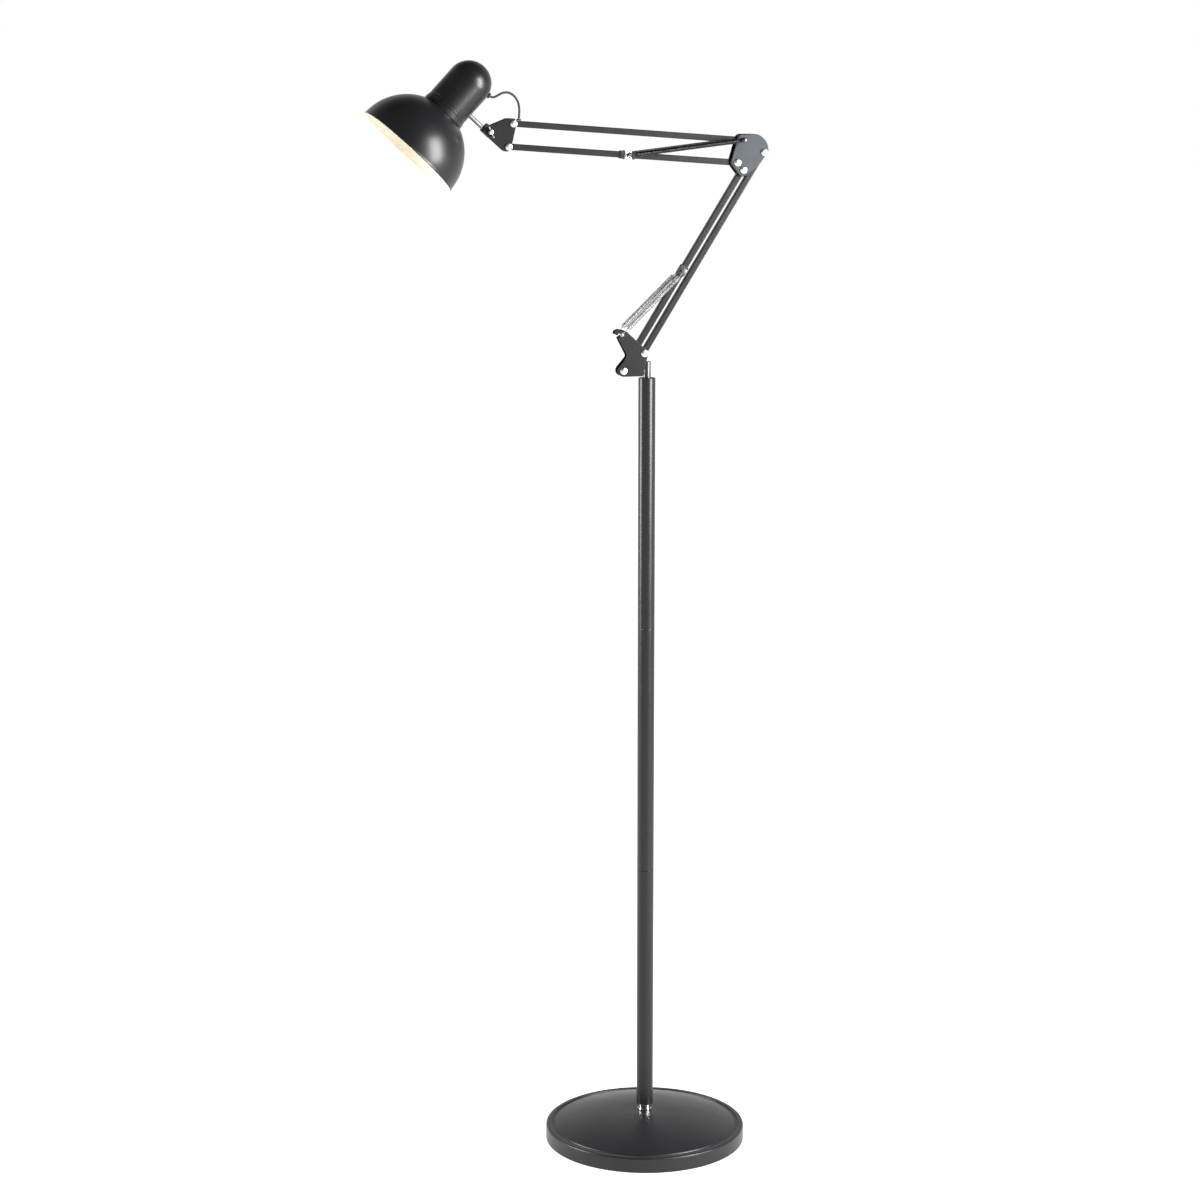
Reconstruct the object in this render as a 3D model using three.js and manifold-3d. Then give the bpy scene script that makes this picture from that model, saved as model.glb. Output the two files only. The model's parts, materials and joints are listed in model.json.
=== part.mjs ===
// Floor lamp with a balanced double-parallelogram arm. Millimetres, +Z up.
// The origin is the centre of the base's underside. The arm lies in the plane y = 0, its head towards -X.
import * as THREE from "three";
import { mergeVertices } from "three/addons/utils/BufferGeometryUtils.js";
import Module from "manifold-3d";

const wasm = await Module();
wasm.setup();

// ---------------------------------------------------------------- driving dimensions
const GAP = 0.3; // running clearance between neighbouring pieces

// Base
const BASE_R = 150;
const BASE_RIM_H = 24;
const BASE_CROWN_H = 44;
const BASE_SKIN = 1.6;
const RIM_LIFT = 1; // the pressed cover hangs this far above the floor
const PAD_T = 2;
const WEIGHT_T = 9;
const WEIGHT_BOSS_R = 20;
const WEIGHT_INSET = 9; // from the cover's skin to the weight
const GROOVE_INSET = 9; // from the rim's edge to the middle of the groove
const GROOVE_DEPTH = 1.4;
const FOOT_BOLT_R = 5;
const BOLT_FIT = 0.6; // radial clearance of the bolt's through holes
const BOLT_HEAD_R = 8.5;
const BOLT_HEAD_H = 5;
const WASHER_R = 10.5;
const WASHER_T = 1.5;
const COLLAR_R = 10.4;
const COLLAR_H = 9.4;
const GLAND_R = 5;
const GLAND_BORE_R = 3.6;
const GLAND_REACH = 9; // how far the cord inlet stands out of the rim

// Pole
const POLE_R = 12.5;
const POLE_WALL = 1.2;
const POLE_TOP = 1160;
const SECTION_H = 368; // from one seam to the next
const STUD_H = 50;
const STUD_BORE_R = 4;
const INSERT_H = 30;
const PIN_R = 5.5;
const PIN_DEPTH = 50;
const PIN_STAND = 24; // how far the pin stands out of the pole
const TONGUE_H = 14;

// Arm
const TUBE = 9; // square tube, across
const TUBE_WALL = 1;
const ARM_L = 336; // pivot to pivot
const LOWER_ANGLE = 58.3;
const LOWER_PITCH = 39.5; // distance between the two lower pivots
const LOWER_PITCH_ANGLE = 39.1;
const FORE_ANGLE = 4.2; // the forearm's rise towards the head
const FORE_PITCH = 32.8;
const FORE_PITCH_ANGLE = 77.7;
const ELBOW_STEP = 13.5; // from the lower arm's pivot to the forearm's
const ELBOW_STEP_ANGLE = 130.5;

// Plates and fasteners
const PLATE_T = 2;
const PLATE_Y = 7.3; // inner face of a plate, from the arm's plane
const RIVET_R = 2.5;
const RIVET_HEAD_R = 5.3;
const RIVET_HEAD_H = 2.4;
const SPRING_HEAD_R = 4.1; // head of the long rivet that the forearm's springs hang on

// Springs
const SPRING_R = 3.7;
const SPRING_WIRE_R = 0.8;
const SPRING_Y = 16;
const HOOK_L = 12; // straight wire between a hook and its coil
const ANCHOR_PIN_R = 1.5;
const CLAW_PIN_R = 1.2;
const LOWER_ANCHOR = 168; // from the lower pivot, along the left tube
const CLAMP_FROM_ELBOW = 162; // from the forearm's pivot, along the lower tube
const SLEEVE_WALL = 0.9;
const ANCHOR_SLEEVE_L = 14;
const CLAMP_SLEEVE_L = 22;
const CLAMP_BAND_L = 10;
const CLAMP_BAND_T = 0.7;

// Head
const HEAD_ANGLE = 47; // the head's axis, above the horizontal
const SHADE_R = 80;
const SHADE_WALL = 1;
const HOLDER_R = 19;
const HOLDER_H = 60;
const SOCKET_R = 13.6;
const SOCKET_DEPTH = 34;
const RING_NUT_W = 8; // how far the ring nut stands out round the holder
const RING_NUT_H = 6;
const NECK_R = 31.8;
const NECK_WALL = 1;
const NECK_END = 161; // from the shade's mouth to the end of the neck
const NECK_RING_TOP = 80.5;
const BULB_R = 22.5;
const BULB_WALL = 1;
const BULB_NECK_R = 12.4;
const BULB_CAP_R = 13.2;
const ROD_R = 3.2;
const ROD_HEIGHT = 97; // from the shade's mouth
const ROD_REACH = 66.8; // from the head's axis to the tilt bolt
const ROD_OFFSET = 2.6; // the rod passes this far below the tilt bolt
const ROD_NUT_R = 6;
const TILT_BOLT_R = 2.5;
const WING_HUB_R = 4.1;
const WING_HUB_H = 5;
const GROMMET_TILT = 12; // the neck's cable grommet, up from square to the head's axis
const CABLE_R = 1.6;

// ---------------------------------------------------------------- places that several pieces share
const radians = THREE.MathUtils.degToRad;
const polar = (length, degrees) =>
  new THREE.Vector2(Math.cos(radians(degrees)), Math.sin(radians(degrees))).multiplyScalar(length);
const offset = (point, x, z) => new THREE.Vector2(point.x + x, point.y + z);

// Pivots in the arm's plane, as (x, z)
const pivotA = new THREE.Vector2(-36.5, POLE_TOP + 11.3);
const pivotB = pivotA.clone().add(polar(LOWER_PITCH, LOWER_PITCH_ANGLE));
const pivotR2 = pivotA.clone().add(polar(ARM_L, LOWER_ANGLE));
const pivotR3 = pivotB.clone().add(polar(ARM_L, LOWER_ANGLE));
const pivotR1 = pivotR2.clone().add(polar(ELBOW_STEP, ELBOW_STEP_ANGLE));
const pivotR4 = pivotR1.clone().add(polar(FORE_PITCH, FORE_PITCH_ANGLE));
const pivotH2 = pivotR1.clone().add(polar(ARM_L, 180 - FORE_ANGLE));
const pivotH1 = pivotR4.clone().add(polar(ARM_L, 180 - FORE_ANGLE));
const tiltBolt = offset(pivotH2, -26, 20.8);
const claw = offset(pivotA, -4.5, 53.1);
const lowerAnchor = pivotA.clone().add(polar(LOWER_ANCHOR, LOWER_ANGLE));
const foreClamp = pivotR1.clone().add(polar(CLAMP_FROM_ELBOW, 180 - FORE_ANGLE));

const plateOuter = PLATE_Y + PLATE_T;
const headSeat = plateOuter + GAP; // where a rivet's head starts

// ---------------------------------------------------------------- finishes
function finish(color, roughness, metalness) {
  return new THREE.MeshStandardMaterial({ color, roughness, metalness });
}
const blackPaint = finish(0x17171a, 0.45, 0.1);
const steel = finish(0xb9bbbe, 0.3, 1);
const darkSteel = finish(0x3b3c3f, 0.45, 0.9);
const chrome = finish(0xd9dadd, 0.12, 1);
const castIron = finish(0x45464a, 0.8, 0.6);
const rubber = finish(0x101011, 0.85, 0);
const blackPlastic = finish(0x151517, 0.6, 0);
const whitePlastic = finish(0xe9e6dd, 0.5, 0);
const brass = finish(0xc2a35a, 0.35, 1);
const glass = finish(0xfff3dc, 0.15, 0);

// ---------------------------------------------------------------- solids
// A closed solid from a three.js geometry: shared vertices merged, slivers dropped, faces turned outwards.
function solid(geometry) {
  const bare = new THREE.BufferGeometry();
  bare.setAttribute("position", geometry.getAttribute("position"));
  bare.setIndex(geometry.index);
  const merged = mergeVertices(bare, 1e-4);
  const position = merged.getAttribute("position").array;
  const faces = [];
  let volume = 0;
  const corner = (i) => new THREE.Vector3().fromArray(position, 3 * i);
  for (let i = 0; i < merged.index.count; i += 3) {
    const [a, b, c] = [0, 1, 2].map((k) => merged.index.getX(i + k));
    if (a === b || b === c || a === c) continue;
    faces.push(a, b, c);
    volume += corner(a).dot(corner(b).cross(corner(c)));
  }
  if (volume < 0) faces.reverse();
  return new wasm.Manifold(
    new wasm.Mesh({
      numProp: 3,
      vertProperties: new Float32Array(position),
      triVerts: new Uint32Array(faces),
    }),
  );
}

function geometryOf(manifold) {
  const mesh = manifold.getMesh();
  const geometry = new THREE.BufferGeometry();
  geometry.setAttribute("position", new THREE.BufferAttribute(mesh.vertProperties, 3));
  geometry.setIndex(new THREE.BufferAttribute(mesh.triVerts, 1));
  return geometry;
}

const cut = (body, ...tools) => tools.reduce((left, tool) => left.subtract(tool), body);
const join = (body, ...others) => others.reduce((left, other) => left.add(other), body);

// Turned about Z, from a profile of [radius, height] pairs.
function turned(profile, segments = 24) {
  const points = profile.map(([r, z]) => new THREE.Vector2(r, z));
  return solid(new THREE.LatheGeometry(points, segments).rotateX(Math.PI / 2));
}

const ring = (inner, outer, low, high, segments) =>
  turned([[inner, low], [outer, low], [outer, high], [inner, high], [inner, low]], segments);

const rodZ = (r, low, high, segments) => turned([[0, low], [r, low], [r, high], [0, high]], segments);

// A round bar along Y at (x, z).
const rodY = (r, from, to, at, segments = 16) =>
  solid(new THREE.CylinderGeometry(r, r, to - from, segments).translate(at.x, (from + to) / 2, at.y));

// A round bar along X.
const rodX = (r, from, to, y, z, segments = 12) => {
  const bar = new THREE.CylinderGeometry(r, r, to - from, segments).rotateZ(Math.PI / 2);
  return solid(bar.translate((from + to) / 2, y, z));
};

const block = (x, y, z) =>
  solid(
    new THREE.BoxGeometry(x[1] - x[0], y[1] - y[0], z[1] - z[0]).translate(
      (x[0] + x[1]) / 2,
      (y[0] + y[1]) / 2,
      (z[0] + z[1]) / 2,
    ),
  );

// An outline of corners [x, z, radius], each rounded by a tangent arc.
function roundedOutline(corners) {
  const shape = new THREE.Shape();
  corners.forEach(([x, z, r], i) => {
    const at = new THREE.Vector2(x, z);
    const before = new THREE.Vector2(...corners.at(i - 1).slice(0, 2)).sub(at).normalize();
    const after = new THREE.Vector2(...corners[(i + 1) % corners.length].slice(0, 2)).sub(at).normalize();
    const half = Math.acos(THREE.MathUtils.clamp(before.dot(after), -1, 1)) / 2;
    const reach = r / Math.tan(half);
    const centre = before.clone().add(after).normalize().multiplyScalar(r / Math.sin(half)).add(at);
    const start = before.multiplyScalar(reach).add(at).sub(centre);
    const end = after.multiplyScalar(reach).add(at).sub(centre);
    shape.absarc(centre.x, centre.y, r, start.angle(), end.angle(), start.cross(end) < 0);
  });
  return shape;
}

// A flat plate in the arm's plane, from y = front to y = front + thickness.
function plate(outline, thickness, front, curveSegments = 4) {
  const settings = { depth: thickness, bevelEnabled: false, curveSegments };
  const geometry = new THREE.ExtrudeGeometry(outline, settings);
  return solid(geometry.rotateX(Math.PI / 2).translate(0, front + thickness, 0));
}

// A plate pair's member: side -1 is the front plate and side 1 the rear one.
function bracketPlate(outline, pivots, side) {
  const front = side < 0 ? -plateOuter : PLATE_Y;
  const holes = pivots.map((p) => rodY(RIVET_R + GAP, front - 1, front + PLATE_T + 1, p));
  return cut(plate(outline, PLATE_T, front), ...holes);
}

// A domed rivet through both plates, or a longer one that stands out to carry the springs.
function rivet(at, stand = 0) {
  const shank = headSeat + stand;
  const headR = stand ? SPRING_HEAD_R : RIVET_HEAD_R;
  const rise = RIVET_HEAD_H;
  const profile = [
    [0, -shank - rise],
    [headR * 0.55, -shank - rise * 0.85],
    [headR, -shank - rise * 0.25],
    [headR, -shank],
    [RIVET_R, -shank],
    [RIVET_R, shank],
    [headR, shank],
    [headR, shank + rise * 0.25],
    [headR * 0.55, shank + rise * 0.85],
    [0, shank + rise],
  ];
  const points = profile.map(([r, y]) => new THREE.Vector2(r, y));
  return solid(new THREE.LatheGeometry(points, 14).translate(at.x, 0, at.y));
}

// A square tube along X with round ends at its two pivots, in its own frame, first pivot at the origin.
function armTube() {
  const half = TUBE / 2;
  const outline = new THREE.Shape();
  outline.absarc(0, 0, half, Math.PI / 2, -Math.PI / 2, false);
  outline.absarc(ARM_L, 0, half, -Math.PI / 2, Math.PI / 2, false);
  const bore = half - TUBE_WALL;
  const pivots = [0, ARM_L].map((x) => rodY(RIVET_R + GAP, -TUBE, TUBE, new THREE.Vector2(x, 0)));
  const hollow = block([-TUBE, ARM_L + TUBE], [-bore, bore], [-bore, bore]);
  return cut(plate(outline, TUBE, -half, 6), hollow, ...pivots);
}

// A short square sleeve around a tube, centred at x, with a cross hole for its pin.
function sleeveAt(x, length, inner, outer) {
  const ends = [x - length / 2, x + length / 2];
  const body = block(ends, [-outer, outer], [-outer, outer]);
  const passage = block([ends[0] - 1, ends[1] + 1], [-inner, inner], [-inner, inner]);
  return cut(body, passage, rodY(ANCHOR_PIN_R + GAP, -outer - 1, outer + 1, new THREE.Vector2(x, 0)));
}

// A closed-coil spring's outer shape along X with a hook wire at each end, on its own axis.
function coil(from, to, hookFrom, hookTo, y) {
  const wires = [];
  if (hookFrom < from) wires.push(rodX(SPRING_WIRE_R, hookFrom, from + 1, y, 0, 8));
  if (hookTo > to) wires.push(rodX(SPRING_WIRE_R, to - 1, hookTo, y, 0, 8));
  return join(rodX(SPRING_R, from, to, y, 0), ...wires);
}

// ---------------------------------------------------------------- assembly
const lamp = new THREE.Group();

function add(parent, name, manifold, material) {
  const mesh = new THREE.Mesh(geometryOf(manifold), material);
  mesh.name = name;
  parent.add(mesh);
}

// A group in the arm's plane with its X axis raised by the given angle.
function frameAt(point, degrees) {
  const group = new THREE.Group();
  group.position.set(point.x, 0, point.y);
  group.rotation.y = -radians(degrees);
  lamp.add(group);
  return group;
}

// ---- Base: felt pad, cast weight and pressed cover, held together by the bolt in the pole's foot
const weightLow = PAD_T + GAP;
const weightR = BASE_R - BASE_SKIN - WEIGHT_INSET;
const coverInside = BASE_CROWN_H - BASE_SKIN;
const boltHole = FOOT_BOLT_R + BOLT_FIT;
const recessR = WASHER_R + 1.5;
const boltHeadLow = weightLow + 1;
const washerLow = boltHeadLow + BOLT_HEAD_H + GAP;
const recessTop = washerLow + WASHER_T + GAP;
const collarLow = BASE_CROWN_H + GAP;
const poleFoot = collarLow + COLLAR_H + GAP;

add(lamp, "base_pad", rodZ(weightR + 2, 0, PAD_T, 48), rubber);

const weight = turned(
  [
    [boltHole, recessTop],
    [recessR, recessTop],
    [recessR, weightLow],
    [weightR, weightLow],
    [weightR, weightLow + WEIGHT_T],
    [WEIGHT_BOSS_R + 14, weightLow + WEIGHT_T],
    [WEIGHT_BOSS_R, coverInside - GAP],
    [boltHole, coverInside - GAP],
    [boltHole, recessTop],
  ],
  40,
);
add(lamp, "base_weight", weight, castIron);

// The cover's crown rises as a shallow parabola from the groove inside the rim to the seat of the collar.
function coverProfile() {
  const seatR = COLLAR_R + 5;
  const grooveR = BASE_R - GROOVE_INSET;
  const grooveZ = BASE_RIM_H - GROOVE_DEPTH;
  const crownStart = grooveR - 5;
  const crownLow = BASE_RIM_H + 0.6;
  const crown = (low, high) => {
    const points = [];
    for (let i = 0; i <= 7; i += 1) {
      const t = 1 - i / 7;
      points.push([seatR + (crownStart - seatR) * t, high - (high - low) * t * t]);
    }
    return points;
  };
  const skin = BASE_SKIN;
  const outside = [
    [BASE_R, RIM_LIFT],
    [BASE_R, BASE_RIM_H - 3],
    [BASE_R - 0.9, BASE_RIM_H - 0.9],
    [BASE_R - 3, BASE_RIM_H],
    [grooveR + 2, BASE_RIM_H],
    [grooveR, grooveZ],
    [grooveR - 2.5, grooveZ],
    ...crown(crownLow, BASE_CROWN_H),
    [boltHole, BASE_CROWN_H],
  ];
  const inside = [
    [boltHole, coverInside],
    ...crown(crownLow - skin, coverInside).reverse(),
    [grooveR - 2.5, grooveZ - skin],
    [BASE_R - 3, grooveZ - skin],
    [BASE_R - skin, BASE_RIM_H - 3 - skin],
    [BASE_R - skin, RIM_LIFT],
    [BASE_R, RIM_LIFT],
  ];
  return [...outside, ...inside];
}
const glandPoint = new THREE.Vector2(0, BASE_RIM_H / 2 + 1);
const coverHole = rodY(GLAND_R + GAP, BASE_R - 20, BASE_R + 5, glandPoint);
add(lamp, "base_cover", cut(turned(coverProfile(), 56), coverHole), blackPaint);

// Cord inlet in the back of the rim: a flanged grommet, its bore open to the outside.
const glandIn = BASE_R - BASE_SKIN - 5.4;
const glandNeck = rodY(GLAND_R, glandIn, BASE_R + 1, glandPoint, 20);
const glandFlange = rodY(GLAND_R + 2.5, BASE_R + GAP, BASE_R + GLAND_REACH, glandPoint, 20);
const glandHole = rodY(GLAND_BORE_R, glandIn + 2, BASE_R + GLAND_REACH + 1, glandPoint, 20);
add(lamp, "cord_gland", cut(join(glandNeck, glandFlange), glandHole), rubber);

add(lamp, "base_washer", ring(boltHole, WASHER_R, washerLow, washerLow + WASHER_T, 20), steel);
const boltHead = rodZ(BOLT_HEAD_R, boltHeadLow, boltHeadLow + BOLT_HEAD_H, 6);
const boltEnd = poleFoot + INSERT_H - 8;
const footBolt = join(boltHead, rodZ(FOOT_BOLT_R, boltHeadLow + 1, boltEnd, 16));
add(lamp, "base_bolt", footBolt, steel);
add(lamp, "base_collar", ring(FOOT_BOLT_R + GAP, COLLAR_R, collarLow, collarLow + COLLAR_H, 32), chrome);

// ---- Pole: three tubes screwed together over studs
const boreR = POLE_R - POLE_WALL;
const plugR = boreR - GAP;
const seams = [poleFoot + SECTION_H, poleFoot + 2 * SECTION_H];
const footInsert = cut(
  rodZ(plugR, poleFoot, poleFoot + INSERT_H, 24),
  rodZ(FOOT_BOLT_R + GAP, poleFoot - 1, boltEnd + 4, 16),
);
add(lamp, "pole_foot_insert", footInsert, steel);
const sections = [
  ["pole_lower", poleFoot, seams[0] - GAP / 2],
  ["pole_middle", seams[0] + GAP / 2, seams[1] - GAP / 2],
  ["pole_upper", seams[1] + GAP / 2, POLE_TOP],
];
for (const [name, low, high] of sections) add(lamp, name, ring(boreR, POLE_R, low, high, 32), blackPaint);
seams.forEach((seam, i) => {
  const stud = ring(STUD_BORE_R, plugR, seam - STUD_H / 2, seam + STUD_H / 2, 24);
  add(lamp, ["pole_stud_lower", "pole_stud_upper"][i], stud, steel);
});
const bushLow = POLE_TOP - PIN_DEPTH - 6;
const bush = cut(
  rodZ(plugR, bushLow, POLE_TOP - GAP, 24),
  rodZ(PIN_R + GAP, POLE_TOP - PIN_DEPTH - GAP, POLE_TOP + 1, 20),
);
add(lamp, "pole_top_bush", bush, blackPlastic);

// ---- Yoke: the pin that turns in the pole, with a tongue between two plates that end in spring claws
const tongueLow = POLE_TOP + 6;
const tongueX = [pivotA.x + RIVET_HEAD_R + 7, 1 - PIN_R];
const tongue = block(tongueX, [-PLATE_Y + GAP, PLATE_Y - GAP], [tongueLow, tongueLow + TONGUE_H]);
const pin = rodZ(PIN_R, POLE_TOP - PIN_DEPTH, POLE_TOP + PIN_STAND, 20);
add(lamp, "swivel_pin", join(pin, tongue), darkSteel);

const cornerAt = (point, x, z, r) => [point.x + x, point.y + z, r];
const yokeOutline = roundedOutline([
  cornerAt(pivotA, -18.2, -8.2, 8.2),
  cornerAt(pivotA, 28.3, -8.2, 2),
  cornerAt(pivotB, 6.1, 1.8, 5.5),
  cornerAt(claw, 8.0, 4.6, 4),
  cornerAt(claw, -2.0, 6.8, 3.5),
  cornerAt(claw, -7.8, 4.2, 2.4),
  cornerAt(claw, -8.4, -0.8, 1.3),
  cornerAt(claw, -4.4, -1.0, 1.2),
  cornerAt(claw, -3.6, 2.5, 1.1),
  cornerAt(claw, 1.0, 2.7, 1.6),
  cornerAt(claw, 1.8, -2.1, 1.5),
  cornerAt(claw, -3.2, -5.6, 1.4),
  cornerAt(pivotA, 6.1, 20.8, 4),
]);
add(lamp, "yoke_plate_front", bracketPlate(yokeOutline, [pivotA, pivotB], -1), blackPaint);
add(lamp, "yoke_plate_rear", bracketPlate(yokeOutline, [pivotA, pivotB], 1), blackPaint);
add(lamp, "yoke_rivet_left", rivet(pivotA), steel);
add(lamp, "yoke_rivet_right", rivet(pivotB), steel);
const pinReach = SPRING_Y + SPRING_R + 1;
add(lamp, "claw_pin", rodY(CLAW_PIN_R, -pinReach, pinReach, claw, 12), steel);

// ---- Lower arm: two square tubes; the left one carries the springs' anchor
const tubeHalf = TUBE / 2;
const sleeveInner = tubeHalf + GAP;
const sleeveOuter = sleeveInner + SLEEVE_WALL;
const leftFrame = frameAt(pivotA, LOWER_ANGLE);
const leftPinHole = rodY(ANCHOR_PIN_R + GAP, -TUBE, TUBE, new THREE.Vector2(LOWER_ANCHOR, 0));
add(leftFrame, "lower_tube_left", cut(armTube(), leftPinHole), blackPaint);
const anchorSleeve = sleeveAt(LOWER_ANCHOR, ANCHOR_SLEEVE_L, sleeveInner, sleeveOuter);
add(leftFrame, "lower_anchor_sleeve", anchorSleeve, blackPlastic);
const crossPin = (x) => rodY(ANCHOR_PIN_R, -pinReach, pinReach, new THREE.Vector2(x, 0), 12);
add(leftFrame, "lower_anchor_pin", crossPin(LOWER_ANCHOR), steel);
add(frameAt(pivotB, LOWER_ANGLE), "lower_tube_right", armTube(), blackPaint);

// Lower springs, from the claws to the anchor pin. The eye at the upper end is a piece of its own.
const lowerSpringLine = lowerAnchor.clone().sub(claw);
const lowerSpringL = lowerSpringLine.length();
const springFrame = frameAt(claw, THREE.MathUtils.radToDeg(lowerSpringLine.angle()));
const eyeStart = lowerSpringL - HOOK_L - 2;
const eyeEnd = lowerSpringL - ANCHOR_PIN_R - GAP;
for (const [name, side] of [["front", -1], ["rear", 1]]) {
  const y = side * SPRING_Y;
  add(springFrame, `lower_spring_${name}`, coil(HOOK_L, eyeStart - GAP, CLAW_PIN_R + GAP, 0, y), steel);
  add(springFrame, `lower_spring_eye_${name}`, rodX(SPRING_WIRE_R, eyeStart, eyeEnd, y, 0, 8), steel);
}

// ---- Elbow: two pressed plates and four rivets, one of them long enough to hold the forearm's springs
const elbowOutline = roundedOutline([
  cornerAt(pivotR2, -2.4, -12.4, 8.4),
  cornerAt(pivotR2, 21, 3.8, 18),
  cornerAt(pivotR3, 6.6, 1.1, 4.6),
  cornerAt(pivotR4, 38.8, 8.8, 23),
  cornerAt(pivotR4, -5.9, 8.8, 7.6),
  cornerAt(pivotR1, -10.8, -0.6, 7.6),
]);
const elbowPivots = [pivotR1, pivotR2, pivotR3, pivotR4];
add(lamp, "elbow_plate_front", bracketPlate(elbowOutline, elbowPivots, -1), blackPaint);
add(lamp, "elbow_plate_rear", bracketPlate(elbowOutline, elbowPivots, 1), blackPaint);
add(lamp, "elbow_rivet_inner", rivet(pivotR1), steel);
add(lamp, "elbow_rivet_lower", rivet(pivotR2), steel);
add(lamp, "elbow_rivet_outer", rivet(pivotR3), steel);
const springStand = SPRING_Y + SPRING_R - headSeat;
add(lamp, "elbow_spring_pin", rivet(pivotR4, springStand), darkSteel);

// ---- Forearm: two square tubes; the lower one has the clamp that the springs pull on
const foreLowerFrame = frameAt(pivotH2, -FORE_ANGLE);
const clampX = ARM_L - CLAMP_FROM_ELBOW;
const clampPinHole = rodY(ANCHOR_PIN_R + GAP, -TUBE, TUBE, new THREE.Vector2(clampX, 0));
add(foreLowerFrame, "forearm_tube_lower", cut(armTube(), clampPinHole), blackPaint);
const clampSleeve = sleeveAt(clampX, CLAMP_SLEEVE_L, sleeveInner, sleeveOuter);
add(foreLowerFrame, "forearm_clamp_sleeve", clampSleeve, blackPlastic);
const bandInner = sleeveOuter + GAP;
const clampBand = sleeveAt(clampX, CLAMP_BAND_L, bandInner, bandInner + CLAMP_BAND_T);
add(foreLowerFrame, "forearm_clamp_band", clampBand, steel);
add(foreLowerFrame, "forearm_clamp_pin", crossPin(clampX), darkSteel);

const foreUpperFrame = frameAt(pivotH1, -FORE_ANGLE);
add(foreUpperFrame, "forearm_tube_upper", armTube(), blackPaint);
const tubeGrommetX = 9;
const tubeGrommetH = 2.4;
const tubeGrommet = turned([
  [0, tubeHalf + GAP],
  [3.6, tubeHalf + GAP],
  [3.2, tubeHalf + GAP + tubeGrommetH],
  [0, tubeHalf + GAP + tubeGrommetH],
], 16);
add(foreUpperFrame, "tube_grommet", tubeGrommet.translate([tubeGrommetX, 0, 0]), rubber);

// Forearm springs, from the clamp pin to the long elbow pin.
const foreSpringLine = pivotR4.clone().sub(foreClamp);
const foreSpringL = foreSpringLine.length();
const foreSpringFrame = frameAt(foreClamp, THREE.MathUtils.radToDeg(foreSpringLine.angle()));
for (const [name, side] of [["front", -1], ["rear", 1]]) {
  const hooks = [ANCHOR_PIN_R + GAP, foreSpringL - RIVET_R - GAP];
  const body = coil(HOOK_L - 3, foreSpringL - HOOK_L, hooks[0], hooks[1], side * SPRING_Y);
  add(foreSpringFrame, `upper_spring_${name}`, body, darkSteel);
}

// ---- Head bracket: two plates, two rivets and the clamp bolt with its wing nut
const headOutline = roundedOutline([
  cornerAt(pivotH2, 1.2, -12.6, 6.5),
  cornerAt(pivotH1, 6.4, 7.4, 6),
  cornerAt(pivotH1, -8.6, 7.4, 3),
  cornerAt(tiltBolt, -13.4, 3.4, 3),
]);
const headPivots = [pivotH1, pivotH2, tiltBolt];
add(lamp, "head_plate_front", bracketPlate(headOutline, headPivots, -1), blackPaint);
add(lamp, "head_plate_rear", bracketPlate(headOutline, headPivots, 1), blackPaint);
add(lamp, "head_rivet_upper", rivet(pivotH1), steel);
add(lamp, "head_rivet_lower", rivet(pivotH2), steel);

const boltFront = -headSeat - WING_HUB_H - 1.5;
const tiltShank = rodY(TILT_BOLT_R, boltFront, headSeat + 1, tiltBolt);
add(lamp, "clamp_bolt", join(tiltShank, rodY(4.4, headSeat, headSeat + 3.6, tiltBolt, 6)), steel);

// Wing nut: a hub with two raised wings, its wings lying along a steep line.
const nutFrame = frameAt(tiltBolt, -67);
const nutHub = rodY(WING_HUB_R, -headSeat - WING_HUB_H, -headSeat, new THREE.Vector2(0, 0), 18);
const wingOutline = new THREE.Shape([
  new THREE.Vector2(2.8, 0.8),
  new THREE.Vector2(4.8, 0.4),
  new THREE.Vector2(8.6, 4.6),
  new THREE.Vector2(8.8, 7.4),
  new THREE.Vector2(6.4, 8.0),
  new THREE.Vector2(2.8, 4.6),
]);
const wingT = 1.8;
const wings = [0, Math.PI].map((turn) => {
  const wing = new THREE.ExtrudeGeometry(wingOutline, { depth: wingT, bevelEnabled: false });
  const seated = wing.translate(0, 0, -wingT / 2).rotateY(turn).rotateX(Math.PI);
  return solid(seated.translate(0, -headSeat, 0));
});
const nutBore = rodY(TILT_BOLT_R + GAP, -headSeat - 2 * WING_HUB_H, -headSeat + 1, new THREE.Vector2(0, 0));
add(nutFrame, "wing_nut", cut(join(nutHub, ...wings), nutBore), steel);

// ---- Head: it stands on the lamp's axis, in a frame whose Z is that axis and whose X faces the bracket
const headX = polar(1, HEAD_ANGLE - 90);
const headZ = polar(1, HEAD_ANGLE);
const mouth = tiltBolt
  .clone()
  .sub(headX.clone().multiplyScalar(ROD_REACH))
  .sub(headZ.clone().multiplyScalar(ROD_HEIGHT + ROD_OFFSET));
const head = frameAt(mouth, HEAD_ANGLE - 90);

// Knuckle: a block between the bracket's plates that turns on the clamp bolt and holds the rod.
const boltHeight = ROD_HEIGHT + ROD_OFFSET;
const knuckleY = PLATE_Y - GAP;
const knuckleBody = block(
  [ROD_REACH - 11, ROD_REACH + 6.5],
  [-knuckleY, knuckleY],
  [boltHeight - 7.2, boltHeight + 6.2],
);
const rodEnd = ROD_REACH - TILT_BOLT_R - 2;
const knuckle = cut(
  knuckleBody,
  rodX(ROD_R + GAP, ROD_REACH - 12, rodEnd + GAP, 0, ROD_HEIGHT, 16),
  rodY(TILT_BOLT_R + GAP, -TUBE, TUBE, new THREE.Vector2(ROD_REACH, boltHeight)),
);
add(head, "knuckle_block", knuckle, blackPlastic);

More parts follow.
